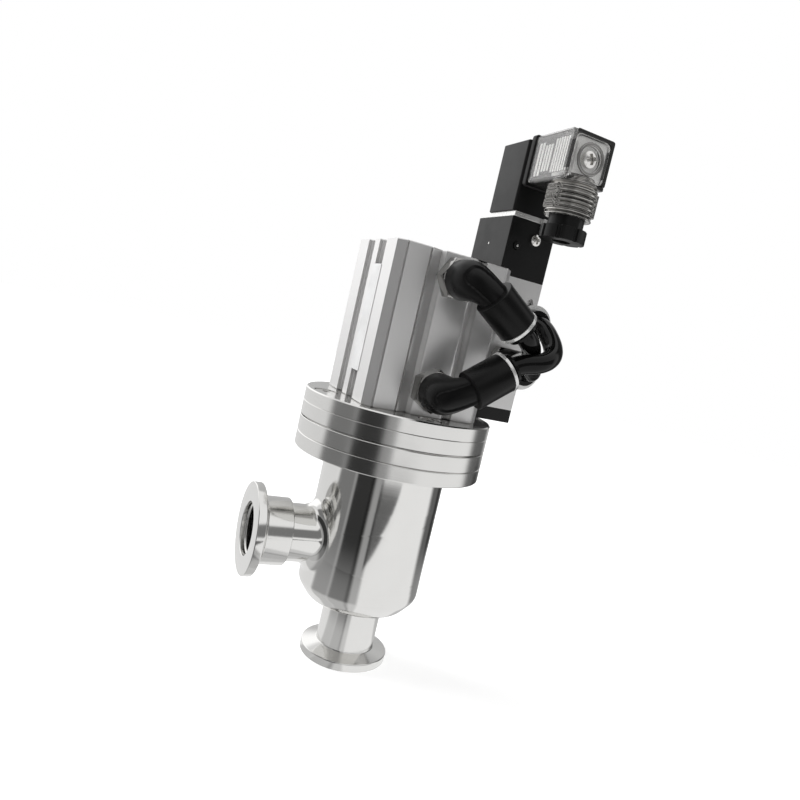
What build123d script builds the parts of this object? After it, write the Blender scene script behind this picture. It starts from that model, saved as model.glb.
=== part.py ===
from build123d import *
import os
from math import cos, radians, sin

# Vacuum angle valve with a square air cylinder on top and a solenoid valve beside it.
# Millimetres. The origin is the centre of the bottom port's sealing face, +Z runs up the
# main axis, the side port points along -X, and the air ports of the cylinder face -Y.

# Small-flange ports
PORT_FLANGE_D = 30.0
PORT_RIM = 2.8
PORT_TAPER = 1.4
PORT_BORE_D = 16.0
PORT_RECESS_D = 17.2
PORT_RECESS_DEPTH = 1.8
PORT_NECK_D = 20.0
SIDE_REACH = 42.0
SIDE_HEIGHT = 41.5
SIDE_NECK_D = 19.0
SIDE_COLLAR_D = 22.0
SIDE_COLLAR_L = 12.5
SIDE_SOCKET_START = 4.0
SIDE_FILLET = 4.0

# Chamber
TUBE_D = 41.5
TUBE_WALL = 2.0
FLOOR_Z = 20.0
FLOOR_T = 2.5
FLOOR_CHAMFER_R = 4.0
FLOOR_CHAMFER_Z = 5.0
SEAT_HEIGHT = 5.0
SEAT_LIP = 0.6
SEAT_RELIEF_D = 17.2
SEAT_RELIEF = 1.5

# Flange stack
FLANGE_D = 63.0
STACK_Z = 70.0
BODY_FLANGE_T = 5.0
BELLOWS_FLANGE_T = 5.0
BONNET_T = 5.0
PLATE_T = 4.5
EDGE = 0.35
SEAL_RING_R = 21.3
SEAL_CORD_D = 2.0
SEAL_GAP = 0.05
FLANGE_SCREW_PCD = 52.0
FLANGE_SCREW_COUNT = 4
FLANGE_SCREW_D = 4.0
SCREW_HEAD_D = 7.0
SCREW_HEAD_H = 2.8
SCREW_HEAD_RECESS = 3.0
SCREW_CLEARANCE = 0.15
SOCKET_KEY = 2.5
SOCKET_DEPTH = 1.6

# Disc, stem and bellows
DISC_D = 26.0
DISC_T = 6.0
DISC_SEAL_R = 9.2
DISC_SEAL_W = 2.0
DISC_SEAL_PROUD = 0.5
DISC_SEAL_DEPTH = 1.6
DISC_CLEARANCE = 0.05
DISC_SCREW_D = 3.5
STEM_D = 9.0
STEM_TOP_Z = 66.0
STEM_SPIGOT_D = 5.0
STEM_SPIGOT_L = 8.0
STROKE = 12.0
BELLOWS_D = 26.0
BELLOWS_INNER_D = 18.0
BELLOWS_SKIN = 0.35
BELLOWS_TURNS = 12
BELLOWS_CUFF = 2.0

# Air cylinder
BODY_HALF = 20.0
BODY_H = 51.0
BODY_CHAMFER = 2.6
CYL_BORE_D = 25.0
BOSS_HALF = 5.0
BOSS_PROUD = 1.0
BOSS_RAMP = 0.8
FRONT_VALLEY_X = 9.5
FRONT_VALLEY_DEPTH = 1.8
SIDE_GROOVE_AT = 5.3
SIDE_GROOVE_W = 6.2
SIDE_GROOVE_STEP = 0.9
SIDE_GROOVE_SLOT_W = 4.2
SIDE_GROOVE_DEPTH = 3.2
CORNER_PITCH = 28.0
CORNER_SCREW_D = 5.0
CORNER_HEAD_D = 8.5
CORNER_HEAD_H = 5.0
CORNER_HEAD_RECESS = 5.6
AIR_PORT_D = 5.0
LOWER_PORT_Z = 98.2
UPPER_PORT_Z = 132.8
COVER_T = 4.2
COVER_CLEARANCE = 0.02
RING_T = 1.1
RING_GROOVE = 0.6
RING_WALL = 1.8
RING_INSET = 0.7
RUNNING = 0.05
ROD_D = 10.0
ROD_SEAL_D = 13.6
ROD_SEAL_T = 1.8
PISTON_T = 11.0
PISTON_END_GAP = 0.5
PISTON_SEAL_T = 3.0
PISTON_SEAL_WALL = 2.0
PISTON_NECK_D = 6.0
LABEL_T = 0.15
LABEL_W = 7.6
LABEL_AT = -4.9
LABEL_BOTTOM = 9.0
LABEL_TOP = 43.0

# Push-in fittings and the two short hoses
HEX_AF = 12.0
HEX_T = 5.0
HEX_CHAMFER = 0.6
STUD_L = 6.0
STUD_BORE_D = 2.5
FITTING_D = 12.2
FITTING_NECK_D = 10.0
ARM_OUT = 17.0
ARM_STEP = 8.0
ARM_END = 17.6
ARM_RING_T = 1.0
ARM_RING_PROUD = 0.2
UPPER_ARM_ANGLE = -33.7
LOWER_ARM_ANGLE = 37.4
HOSE_D = 6.0
HOSE_WALL = 1.0
HOSE_FIT = 0.05
HOSE_INSERT = 7.5
LOWER_HOSE_RUN = 21.96
LOWER_HOSE_OUT = 0.46
LOWER_HOSE_FRONT = 1.02
LOWER_HOSE_DROP = 9.8
LOWER_HOSE_TURN = 18.69
LOWER_HOSE_RADII = [5.18, 14.06, 5.2]
UPPER_HOSE_RUN = 24.3
UPPER_HOSE_IN = 7.73
UPPER_HOSE_BACK = 9.73
UPPER_HOSE_RISE = 8.21
UPPER_HOSE_TURN = 26.37
UPPER_HOSE_RADII = [5.2, 5.67, 5.34]
COLLAR_D = 9.4
COLLAR_SLEEVE_D = 8.0
COLLAR_HEAD_T = 1.0
COLLAR_GAP = 1.1
COLLAR_DEPTH = 4.0
COLLAR_TRAVEL = 1.0
STRAIGHT_HEX_T = 3.5
STRAIGHT_END = 14.0

# Solenoid valve
VALVE_W = 18.0
VALVE_DEPTH = 24.4
VALVE_X = 23.5
VALVE_Y = -4.0
CAP_Z = 90.0
CAP_T = 4.6
VALVE_BODY_H = 45.6
PILOT_H = 19.8
VALVE_LOWER_PORT = 15.3
VALVE_UPPER_PORT = 31.0
SUPPLY_D = 4.2
SUPPLY_PITCH = 10.9
SUPPLY_DEPTH = 6.0
SUPPLY_ORIFICE_D = 2.6
SPOOL_BORE_D = 8.0
SPOOL_CORE_D = 5.0
SPOOL_SHIFT = 2.5
SPOOL_SEALS = 6
SPOOL_SEAL_D = 1.5
SPOOL_FLOOR = SPOOL_SHIFT + 1.5
SPOOL_LAND_T = 3.6
FACE_HOLE_D = 2.6
FACE_HOLE_DEPTH = 1.5
FACE_HOLE_IN = 3.4
FACE_HOLE_DOWN = 7.0
SPRING_D = 5.0
SPRING_WIRE = 0.7
SPRING_TURNS = 4
OVERRIDE_D = 2.6
OVERRIDE_TRAVEL = 1.0
OVERRIDE_L = 6.0
OVERRIDE_PROUD = 0.6
OVERRIDE_X = 3.9
OVERRIDE_UP = 10.4
SMALL_SCREW_D = 2.2
SMALL_HEAD_D = 3.8
SMALL_HEAD_H = 1.6
CAP_SCREW_SPAN = 18.0
CAP_SCREW_BITE = 5.0
PILOT_SCREW_X = 1.4
PILOT_SCREW_UP = 13.8
PILOT_SCREW_L = 8.0
YOKE_T = 1.8
YOKE_INSET = 0.4
TAB_W = 4.6
TAB_DROP = 3.6
TAB_T = 1.2
TAB_FROM_RIGHT = 2.2

# Coil and its plug
COIL_W = 18.6
COIL_DEPTH = 17.4
COIL_H = 23.8
COIL_SETBACK = 0.6
COIL_EDGE = 0.8
CORE_TUBE_D = 8.0
CORE_TUBE_WALL = 0.5
CORE_FOOT = 3.0
CORE_PLUG_L = 9.0
PLUNGER_D = 6.8
PLUNGER_POCKET = 4.4
PLUNGER_TRAVEL = 0.8
COIL_NUT_AF = 8.0
COIL_NUT_T = 2.6
COIL_NUT_THREAD_D = 5.0
PLUG_W = 15.8
PLUG_DEPTH = 21.4
PLUG_H = 15.6
PLUG_LIFT = 9.1
PLUG_WALL = 1.2
PLUG_EDGE = 1.0
GASKET_T = 2.3
GASKET_LIP = 0.6
TERMINAL_W = 11.0
TERMINAL_H = 10.0
TERMINAL_L = 9.0
PLUG_SCREW_HEAD_D = 5.2
PLUG_SCREW_D = 3.0
PLUG_SCREW_RECESS_D = 8.0
PLUG_SCREW_RECESS = 1.2
GLAND_D = 15.4
GLAND_H = 10.4
GLAND_FROM_FACE = 4.8
GLAND_CONE = 2.6
GLAND_BORE_D = 10.0
GLAND_RIBS = 6
GLAND_RIB = 0.5
GLAND_PAD_W = 16.2
GLAND_PAD_DEPTH = 6.6
GLAND_PAD_TOP = 1.3
GLAND_NUT_D = 14.8
GLAND_NUT_H = 7.5
GLAND_NUT_NECK_D = 11.6
GLAND_NUT_NECK = 3.3
GLAND_NUT_THREAD = 3.0
GRIP_COUNT = 8
GRIP_R = 0.7
CABLE_BORE_D = 6.0

# Mounting of the solenoid valve
MOUNT_PLATE_DEPTH = 20.0
MOUNT_PLATE_H = 43.0
MOUNT_SCREW_D = 3.0
MOUNT_SCREW_HEAD_D = 5.5
MOUNT_SCREW_HEAD_H = 2.6
MOUNT_SCREW_BITE = 5.0
MOUNT_SCREW_LOW = 9.0
MOUNT_SCREW_HIGH = 37.0

# Heights that follow from the sizes above
PLATE_Z = STACK_Z + BODY_FLANGE_T + BELLOWS_FLANGE_T + BONNET_T
BONNET_Z = PLATE_Z - BONNET_T
BELLOWS_FLANGE_Z = BONNET_Z - BELLOWS_FLANGE_T
DECK_Z = PLATE_Z + PLATE_T
CYL_TOP_Z = DECK_Z + BODY_H
HEAD_COVER_TOP = CYL_TOP_Z - RING_INSET - RING_T
PISTON_Z = HEAD_COVER_TOP - COVER_T - PISTON_END_GAP - STROKE - PISTON_T
SEAT_Z = FLOOR_Z + FLOOR_T + SEAT_HEIGHT
DISC_Z = SEAT_Z + DISC_SEAL_PROUD + DISC_CLEARANCE
TUBE_R = TUBE_D / 2
CHAMBER_R = TUBE_R - TUBE_WALL
BORE_R = CYL_BORE_D / 2
ROD_R = ROD_D / 2
FRONT_Y = -BODY_HALF - BOSS_PROUD
FITTING_R = FITTING_D / 2
HOSE_R = HOSE_D / 2
VALVE_MID_X = VALVE_X + VALVE_W / 2
VALVE_MID_Y = VALVE_Y + VALVE_DEPTH / 2
VALVE_BODY_Z = CAP_Z + CAP_T
PILOT_Z = VALVE_BODY_Z + VALVE_BODY_H
YOKE_Z = PILOT_Z + PILOT_H
COIL_Z = YOKE_Z + YOKE_T
COIL_Y = VALVE_Y + COIL_SETBACK
COIL_MID_Y = COIL_Y + COIL_DEPTH / 2
PLUG_BACK_Y = COIL_Y - GASKET_T
PLUG_FRONT_Y = PLUG_BACK_Y - PLUG_DEPTH
PLUG_Z = COIL_Z + PLUG_LIFT
GLAND_Y = PLUG_FRONT_Y + GLAND_FROM_FACE
PLUG_MID_Z = PLUG_Z + PLUG_H / 2

BASE = (Align.CENTER, Align.CENTER, Align.MIN)
ALL_MIN = (Align.MIN, Align.MIN, Align.MIN)
parts = {}


def disc(radius, z0, z1, x=0.0, y=0.0):
    """A round solid standing on z0 and reaching z1."""
    return Pos(x, y, z0) * Cylinder(radius, z1 - z0, align=BASE)


def ring(outer, inner, z0, z1, x=0.0, y=0.0):
    """A flat ring between two heights."""
    return disc(outer, z0, z1, x, y) - disc(inner, z0, z1, x, y)


def block(x0, x1, y0, y1, z0, z1):
    """A box given by its two corners."""
    return Pos(x0, y0, z0) * Box(x1 - x0, y1 - y0, z1 - z0, align=ALL_MIN)


def turned(points):
    """A solid of revolution about Z from (radius, height) points."""
    return revolve(Plane.XZ * make_face(Polyline(*points, close=True)), axis=Axis.Z)


def facing(x, y, z, direction):
    """A plane at a point whose Z axis runs along a direction."""
    return Plane(origin=(x, y, z), z_dir=direction)


def front_plane(x, y, z):
    """A plane that faces -Y, with +X to its right and +Z up."""
    return Plane(origin=(x, y, z), x_dir=(1, 0, 0), z_dir=(0, -1, 0))


def rod(plane, radius, start, end):
    """A round bar along a plane's normal, from one distance to another."""
    return plane * (Pos(0, 0, start) * Cylinder(radius, end - start, align=BASE))


def hexagon(plane, across_flats, start, end, turn=0.0):
    """A hexagonal bar along a plane's normal."""
    outline = RegularPolygon(across_flats / 2, 6, major_radius=False, rotation=turn)
    return plane * (Pos(0, 0, start) * extrude(outline, end - start))


def spread(radius, count, start=0.0):
    """Points spaced evenly on a circle."""
    step = 360.0 / count
    angles = [radians(start + step * i) for i in range(count)]
    return [(radius * cos(a), radius * sin(a)) for a in angles]


def socket_screw(x, y, seat_z, end_z, shank_d, head_d, head_h, key, key_depth):
    """A socket head screw whose head sits on seat_z and whose shank ends at end_z."""
    screw = disc(head_d / 2, seat_z, seat_z + head_h, x, y) + disc(shank_d / 2, end_z, seat_z, x, y)
    top = Plane(origin=(x, y, seat_z + head_h - key_depth))
    return screw - hexagon(top, key, 0, key_depth)


# Ports and chamber
def port_rim(bore_r, neck_r):
    """Profile points of a tapered small flange whose sealing face lies at height 0."""
    outer = PORT_FLANGE_D / 2
    recess_r = PORT_RECESS_D / 2
    return [
        (recess_r, 0),
        (outer, 0),
        (outer, PORT_RIM),
        (neck_r, PORT_RIM + PORT_TAPER),
        (bore_r, PORT_RIM + PORT_TAPER),
        (bore_r, PORT_RECESS_DEPTH),
        (recess_r, PORT_RECESS_DEPTH),
    ]


def bottom_port():
    """Bottom flange with its neck, which ends inside the chamber as the valve seat."""
    bore_r = PORT_BORE_D / 2
    neck_r = PORT_NECK_D / 2
    rim = turned(port_rim(bore_r, neck_r))
    neck = ring(neck_r, bore_r, PORT_RECESS_DEPTH, SEAT_Z - SEAT_LIP)
    lip = turned([
        (bore_r, SEAT_Z - SEAT_LIP),
        (neck_r, SEAT_Z - SEAT_LIP),
        (neck_r - SEAT_LIP, SEAT_Z),
        (bore_r, SEAT_Z),
    ])
    relief = disc(SEAT_RELIEF_D / 2, SEAT_Z - SEAT_RELIEF, SEAT_Z)
    return rim + neck + lip - relief


def side_port():
    """Side flange with the collar that the outlet neck is pushed into."""
    bore_r = PORT_BORE_D / 2
    neck_r = SIDE_NECK_D / 2
    collar_r = SIDE_COLLAR_D / 2
    rim = turned(port_rim(bore_r, collar_r))
    collar = ring(collar_r, bore_r, PORT_RIM, SIDE_COLLAR_L)
    socket = disc(neck_r, SIDE_SOCKET_START, SIDE_COLLAR_L)
    flange = rim + collar - socket
    return facing(-SIDE_REACH, 0, SIDE_HEIGHT, (1, 0, 0)) * flange


def body_tube():
    """Chamber tube with a chamfered floor and a side outlet drawn out of its wall."""
    outer = turned([
        (0, FLOOR_Z),
        (TUBE_R - FLOOR_CHAMFER_R, FLOOR_Z),
        (TUBE_R, FLOOR_Z + FLOOR_CHAMFER_Z),
        (TUBE_R, STACK_Z),
        (0, STACK_Z),
    ])
    inner = turned([
        (0, FLOOR_Z + FLOOR_T),
        (CHAMBER_R - FLOOR_CHAMFER_R, FLOOR_Z + FLOOR_T),
        (CHAMBER_R, FLOOR_Z + FLOOR_T + FLOOR_CHAMFER_Z),
        (CHAMBER_R, STACK_Z),
        (0, STACK_Z),
    ])
    outlet = facing(0, 0, SIDE_HEIGHT, (-1, 0, 0))
    neck_end = SIDE_REACH - SIDE_SOCKET_START
    solid = outer + rod(outlet, SIDE_NECK_D / 2, 0, neck_end)
    saddle = [
        e for e in solid.edges()
        if abs(e.center().X + TUBE_R) < SIDE_FILLET and abs(e.center().Z - SIDE_HEIGHT) < SIDE_NECK_D
        and e.geom_type not in (GeomType.LINE, GeomType.CIRCLE)
    ]
    solid = fillet(saddle, SIDE_FILLET)
    solid = solid - inner - rod(outlet, PORT_BORE_D / 2, 0, neck_end)
    return solid - disc(PORT_NECK_D / 2, FLOOR_Z, FLOOR_Z + FLOOR_T)


parts["body_tube"] = body_tube()
parts["side_port_flange"] = side_port()
parts["bottom_port_flange"] = bottom_port()


# Flange stack
def stack_ring(z0, thickness, bore_r, screw_r):
    """One ring of the flange stack with its screw holes and broken edges."""
    half = FLANGE_D / 2
    z1 = z0 + thickness
    plate = turned([
        (bore_r, z0),
        (half - EDGE, z0),
        (half, z0 + EDGE),
        (half, z1 - EDGE),
        (half - EDGE, z1),
        (bore_r, z1),
    ])
    for x, y in spread(FLANGE_SCREW_PCD / 2, FLANGE_SCREW_COUNT):
        plate -= disc(screw_r, z0, z1, x, y)
    return plate


screw_r = FLANGE_SCREW_D / 2
free_r = screw_r + SCREW_CLEARANCE
seal_r = SEAL_CORD_D / 2
seal_z = BELLOWS_FLANGE_Z - seal_r - SEAL_GAP
groove = ring(
    SEAL_RING_R + seal_r + SEAL_GAP,
    SEAL_RING_R - seal_r - SEAL_GAP,
    seal_z - seal_r - SEAL_GAP,
    BELLOWS_FLANGE_Z,
)
parts["body_flange"] = stack_ring(STACK_Z, BODY_FLANGE_T, CHAMBER_R, screw_r) - groove
parts["body_seal"] = Pos(0, 0, seal_z) * Torus(SEAL_RING_R, seal_r)
bellows_mouth_r = BELLOWS_INNER_D / 2
parts["bellows_flange"] = stack_ring(BELLOWS_FLANGE_Z, BELLOWS_FLANGE_T, bellows_mouth_r, free_r)
parts["bonnet_flange"] = stack_ring(BONNET_Z, BONNET_T, ROD_R + RUNNING, free_r)
corner_holes = [(x * CORNER_PITCH / 2, y * CORNER_PITCH / 2) for x in (-1, 1) for y in (-1, 1)]
deck = stack_ring(PLATE_Z, PLATE_T, ROD_R + RUNNING, free_r)
head_seat_z = DECK_Z - SCREW_HEAD_RECESS
for x, y in spread(FLANGE_SCREW_PCD / 2, FLANGE_SCREW_COUNT):
    deck -= disc(SCREW_HEAD_D / 2 + SCREW_CLEARANCE * 2, head_seat_z, DECK_Z, x, y)
for x, y in corner_holes:
    deck -= disc(CORNER_SCREW_D / 2, PLATE_Z, DECK_Z, x, y)
parts["actuator_plate"] = deck
flange_screws = [
    socket_screw(x, y, head_seat_z, STACK_Z, FLANGE_SCREW_D, SCREW_HEAD_D, SCREW_HEAD_H, SOCKET_KEY, SOCKET_DEPTH)
    for x, y in spread(FLANGE_SCREW_PCD / 2, FLANGE_SCREW_COUNT)
]
parts["flange_screws"] = Compound(children=flange_screws)


# Disc, stem and bellows
def bellows():
    """Thin folded sleeve between the disc and its flange, with a plain cuff at each end."""
    low = DISC_Z + DISC_T
    top = BELLOWS_FLANGE_Z
    pitch = (top - low - 2 * BELLOWS_CUFF) / BELLOWS_TURNS
    outer_r = BELLOWS_D / 2
    inner_r = BELLOWS_INNER_D / 2
    outer = [(inner_r + BELLOWS_SKIN, low)]
    inner = [(inner_r, low)]
    for i in range(BELLOWS_TURNS):
        z = low + BELLOWS_CUFF + i * pitch
        outer += [(inner_r + BELLOWS_SKIN, z), (outer_r, z + pitch / 2)]
        inner += [(inner_r, z), (outer_r - BELLOWS_SKIN, z + pitch / 2)]
    last = low + BELLOWS_CUFF + BELLOWS_TURNS * pitch
    outer += [(inner_r + BELLOWS_SKIN, last), (inner_r + BELLOWS_SKIN, top)]
    inner += [(inner_r, last), (inner_r, top)]
    return turned(outer + inner[::-1])


seal_in = DISC_SEAL_R - DISC_SEAL_W / 2
seal_out = DISC_SEAL_R + DISC_SEAL_W / 2
seal_pocket = ring(seal_out, seal_in, DISC_Z, DISC_Z + DISC_SEAL_DEPTH)
stem_r = STEM_D / 2
spigot_r = STEM_SPIGOT_D / 2
stem = disc(stem_r, DISC_Z + DISC_T, STEM_TOP_Z) + disc(spigot_r, STEM_TOP_Z, STEM_TOP_Z + STEM_SPIGOT_L)
screw_bite = DISC_T + 2 * DISC_SCREW_D
disc_hole = disc(DISC_SCREW_D / 2, DISC_Z, DISC_Z + screw_bite)
head_pocket = disc(DISC_SCREW_D, DISC_Z, DISC_Z + SCREW_HEAD_H)
parts["valve_disc"] = disc(DISC_D / 2, DISC_Z, DISC_Z + DISC_T) - seal_pocket - disc_hole - head_pocket
parts["disc_seal"] = ring(seal_out, seal_in, DISC_Z - DISC_SEAL_PROUD, DISC_Z + DISC_SEAL_DEPTH)
parts["valve_stem"] = stem - disc_hole
disc_key = hexagon(Plane(origin=(0, 0, DISC_Z)), SOCKET_KEY, 0, SOCKET_DEPTH)
parts["disc_screw"] = disc_hole + head_pocket - disc_key
parts["bellows"] = bellows()


# Air cylinder
def side_groove():
    """Sensor groove along the whole body, open towards +X, centred on Y = 0."""
    step = block(BODY_HALF - SIDE_GROOVE_STEP, BODY_HALF, -SIDE_GROOVE_W / 2, SIDE_GROOVE_W / 2, DECK_Z, CYL_TOP_Z)
    half = SIDE_GROOVE_SLOT_W / 2
    slot = block(BODY_HALF - SIDE_GROOVE_DEPTH, BODY_HALF, -half, half, DECK_Z, CYL_TOP_Z)
    return step + slot


def cylinder_outline():
    """Square outline with chamfered corners and a raised land for the air ports."""
    half = BODY_HALF
    near = half - BODY_CHAMFER
    floor_y = -half + FRONT_VALLEY_DEPTH
    ramp_end = FRONT_VALLEY_X - BOSS_PROUD
    right = [
        (BOSS_HALF + BOSS_RAMP, FRONT_Y),
        (ramp_end, floor_y),
        (FRONT_VALLEY_X, -half),
        (near, -half),
        (half, -near),
        (half, near),
        (near, half),
    ]
    left = [
        (-near, half),
        (-half, near),
        (-half, -near),
        (-near, -half),
        (-FRONT_VALLEY_X, -half),
        (-BOSS_HALF - 2 * BOSS_RAMP, floor_y - BOSS_RAMP / 2),
        (-BOSS_HALF - BOSS_RAMP, floor_y),
        (-BOSS_HALF, FRONT_Y),
    ]
    return make_face(Polyline(*(right + left), close=True))


def cylinder_body():
    """Extruded cylinder body with bore, ring grooves, air ports and screw holes."""
    body = Pos(0, 0, DECK_Z) * extrude(cylinder_outline(), BODY_H)
    for turn in (0, 90, 180):
        for side in (-1, 1):
            body -= Rot(0, 0, turn) * (Pos(0, side * SIDE_GROOVE_AT, 0) * side_groove())
    body -= disc(BORE_R, DECK_Z, CYL_TOP_Z)
    for z in (DECK_Z + RING_INSET, CYL_TOP_Z - RING_INSET - RING_T):
        body -= disc(BORE_R + RING_GROOVE, z, z + RING_T)
    for z in (LOWER_PORT_Z, UPPER_PORT_Z):
        body -= rod(front_plane(0, FRONT_Y, z), AIR_PORT_D / 2, FRONT_Y, 0)
    for x, y in corner_holes:
        body -= disc(CORNER_SCREW_D / 2 + SCREW_CLEARANCE, DECK_Z, CYL_TOP_Z, x, y)
        body -= disc(CORNER_HEAD_D / 2 + SCREW_CLEARANCE, CYL_TOP_Z - CORNER_HEAD_RECESS, CYL_TOP_Z, x, y)
    for z in (MOUNT_SCREW_LOW, MOUNT_SCREW_HIGH):
        hole = facing(BODY_HALF, 0, VALVE_BODY_Z + z, (-1, 0, 0))
        body -= rod(hole, MOUNT_SCREW_D / 2, 0, MOUNT_SCREW_BITE)
    return body


parts["cylinder_body"] = cylinder_body()
cover_r = BORE_R - COVER_CLEARANCE
rod_cover_z = DECK_Z + RING_INSET + RING_T
rod_seal_z = rod_cover_z + (COVER_T - ROD_SEAL_T) / 2
rod_seal = ring(ROD_SEAL_D / 2, ROD_R + RUNNING, rod_seal_z, rod_seal_z + ROD_SEAL_T)
rod_hole_r = ROD_R + RUNNING
parts["rod_cover"] = ring(cover_r, rod_hole_r, rod_cover_z, rod_cover_z + COVER_T) - rod_seal
parts["rod_seal"] = rod_seal
parts["head_cover"] = disc(cover_r, HEAD_COVER_TOP - COVER_T, HEAD_COVER_TOP)
snap_r = BORE_R + RING_GROOVE - RUNNING
snap_rings = [
    ring(snap_r, BORE_R - RING_WALL, z, z + RING_T) - block(0, BODY_HALF, -RING_WALL, RING_WALL, z, z + RING_T)
    for z in (DECK_Z + RING_INSET, HEAD_COVER_TOP)
]
parts["snap_rings"] = Compound(children=snap_rings)
piston_r = BORE_R - RUNNING
piston_top = PISTON_Z + PISTON_T
piston_seal_z = PISTON_Z + (PISTON_T - PISTON_SEAL_T) / 2
piston_seal = ring(piston_r, piston_r - PISTON_SEAL_WALL, piston_seal_z, piston_seal_z + PISTON_SEAL_T)
piston_neck = disc(PISTON_NECK_D / 2, PISTON_Z, piston_top)
parts["piston"] = disc(piston_r, PISTON_Z, piston_top) - piston_seal - piston_neck
parts["piston_seal"] = piston_seal
stem_socket = disc(spigot_r, STEM_TOP_Z, STEM_TOP_Z + STEM_SPIGOT_L)
parts["piston_rod"] = disc(ROD_R, STEM_TOP_Z, PISTON_Z) - stem_socket + piston_neck
cylinder_screws = [
    socket_screw(
        x, y, CYL_TOP_Z - CORNER_HEAD_RECESS, PLATE_Z, CORNER_SCREW_D, CORNER_HEAD_D, CORNER_HEAD_H,
        SOCKET_KEY + SOCKET_DEPTH, SOCKET_KEY,
    )
    for x, y in corner_holes
]
parts["cylinder_screws"] = Compound(children=cylinder_screws)
parts["rating_label"] = block(
    -BODY_HALF - LABEL_T, -BODY_HALF, LABEL_AT - LABEL_W / 2, LABEL_AT + LABEL_W / 2,
    DECK_Z + LABEL_BOTTOM, DECK_Z + LABEL_TOP,
)


# Push-in fittings
def stud(x, y, z, thickness, turn):
    """Hexagonal base with its threaded stud, screwed into a port that faces -Y."""
    plane = front_plane(x, y, z)
    base = hexagon(plane, HEX_AF, 0, thickness, turn)
    cone_r = HEX_AF / 2
    corner_r = cone_r / cos(radians(30))
    cone = turned([
        (0, 0),
        (corner_r, 0),
        (corner_r, thickness - HEX_CHAMFER),
        (cone_r - HEX_CHAMFER / 2, thickness),
        (0, thickness),
    ])
    base = base & (plane * cone)
    return base + rod(plane, AIR_PORT_D / 2, -STUD_L, 0) - rod(plane, STUD_BORE_D / 2, -STUD_L, thickness)


def mouth_cuts(end):
    """Bores at the mouth of a push-in body: hose socket and the pocket of the release collar."""
    hose = Pos(0, 0, end - COLLAR_DEPTH - HOSE_INSERT) * Cylinder(
        HOSE_R + HOSE_FIT, COLLAR_DEPTH + HOSE_INSERT + ARM_RING_T, align=BASE)
    pocket = Pos(0, 0, end - COLLAR_DEPTH - COLLAR_TRAVEL) * Cylinder(
        COLLAR_SLEEVE_D / 2 + HOSE_FIT, COLLAR_DEPTH + COLLAR_TRAVEL + ARM_RING_T, align=BASE)
    return hose + pocket


def release_collar(end):
    """Release collar: a sleeve round the hose with a wider head outside the silver ring."""
    mouth = end + ARM_RING_T
    sleeve = Pos(0, 0, end - COLLAR_DEPTH) * Cylinder(
        COLLAR_SLEEVE_D / 2, COLLAR_DEPTH + ARM_RING_T + COLLAR_GAP, align=BASE)
    head = Pos(0, 0, mouth + COLLAR_GAP) * Cylinder(COLLAR_D / 2, COLLAR_HEAD_T, align=BASE)
    hole_l = COLLAR_DEPTH + ARM_RING_T + COLLAR_GAP + COLLAR_HEAD_T
    hole = Pos(0, 0, end - COLLAR_DEPTH) * Cylinder(HOSE_R + HOSE_FIT, hole_l, align=BASE)
    return sleeve + head - hole


def mouth_ring(end):
    """Thin bright ring pressed on the mouth of a push-in body."""
    outer = Cylinder(FITTING_R + ARM_RING_PROUD, ARM_RING_T, align=BASE)
    inner = Cylinder(COLLAR_SLEEVE_D / 2 + HOSE_FIT, ARM_RING_T, align=BASE)
    return Pos(0, 0, end) * (outer - inner)


def arm_plane(z, angle):
    """Plane at the elbow's corner whose normal runs out along the elbow's arm."""
    a = radians(angle)
    return facing(0, FRONT_Y - ARM_OUT, z, (cos(a), 0, sin(a)))


def elbow_body(z, angle):
    """Moulded elbow: a round stem from the hexagon, a rounded corner and a stepped arm."""
    plane = front_plane(0, FRONT_Y, z)
    stem_part = rod(plane, FITTING_R, HEX_T, ARM_OUT)
    corner = Pos(0, FRONT_Y - ARM_OUT, z) * Sphere(FITTING_R)
    arm = arm_plane(z, angle)
    neck = rod(arm, FITTING_NECK_D / 2, 0, ARM_END)
    wide = rod(arm, FITTING_R, ARM_STEP, ARM_END)
    channel = rod(plane, STUD_BORE_D / 2, HEX_T, ARM_OUT) + rod(arm, STUD_BORE_D / 2, 0, ARM_END)
    return stem_part + corner + neck + wide - channel - arm * mouth_cuts(ARM_END)


def straight_body(z):
    """Moulded straight push-in body on the solenoid valve."""
    plane = front_plane(VALVE_MID_X, VALVE_Y, z)
    barrel = rod(plane, FITTING_R, STRAIGHT_HEX_T, STRAIGHT_END)
    channel = rod(plane, STUD_BORE_D / 2, STRAIGHT_HEX_T, STRAIGHT_END)
    return barrel - channel - plane * mouth_cuts(STRAIGHT_END)


valve_lower_z = VALVE_BODY_Z + VALVE_LOWER_PORT
valve_upper_z = VALVE_BODY_Z + VALVE_UPPER_PORT
elbows = {"upper": (UPPER_PORT_Z, UPPER_ARM_ANGLE, 0), "lower": (LOWER_PORT_Z, LOWER_ARM_ANGLE, 30)}
straights = {"upper": valve_upper_z, "lower": valve_lower_z}
rings = []
elbow_studs = []
valve_studs = []
for place, (z, angle, turn) in elbows.items():
    arm = arm_plane(z, angle)
    elbow_studs.append(stud(0, FRONT_Y, z, HEX_T, turn))
    parts[f"{place}_elbow_body"] = elbow_body(z, angle)
    parts[f"{place}_elbow_collar"] = arm * release_collar(ARM_END)
    rings.append(arm * mouth_ring(ARM_END))
for place, z in straights.items():
    plane = front_plane(VALVE_MID_X, VALVE_Y, z)
    valve_studs.append(stud(VALVE_MID_X, VALVE_Y, z, STRAIGHT_HEX_T, 0))
    parts[f"{place}_valve_fitting"] = straight_body(z)
    parts[f"{place}_valve_collar"] = plane * release_collar(STRAIGHT_END)
    rings.append(plane * mouth_ring(STRAIGHT_END))
parts["fitting_rings"] = Compound(children=rings)
parts["elbow_studs"] = Compound(children=elbow_studs)
parts["valve_studs"] = Compound(children=valve_studs)


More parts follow.
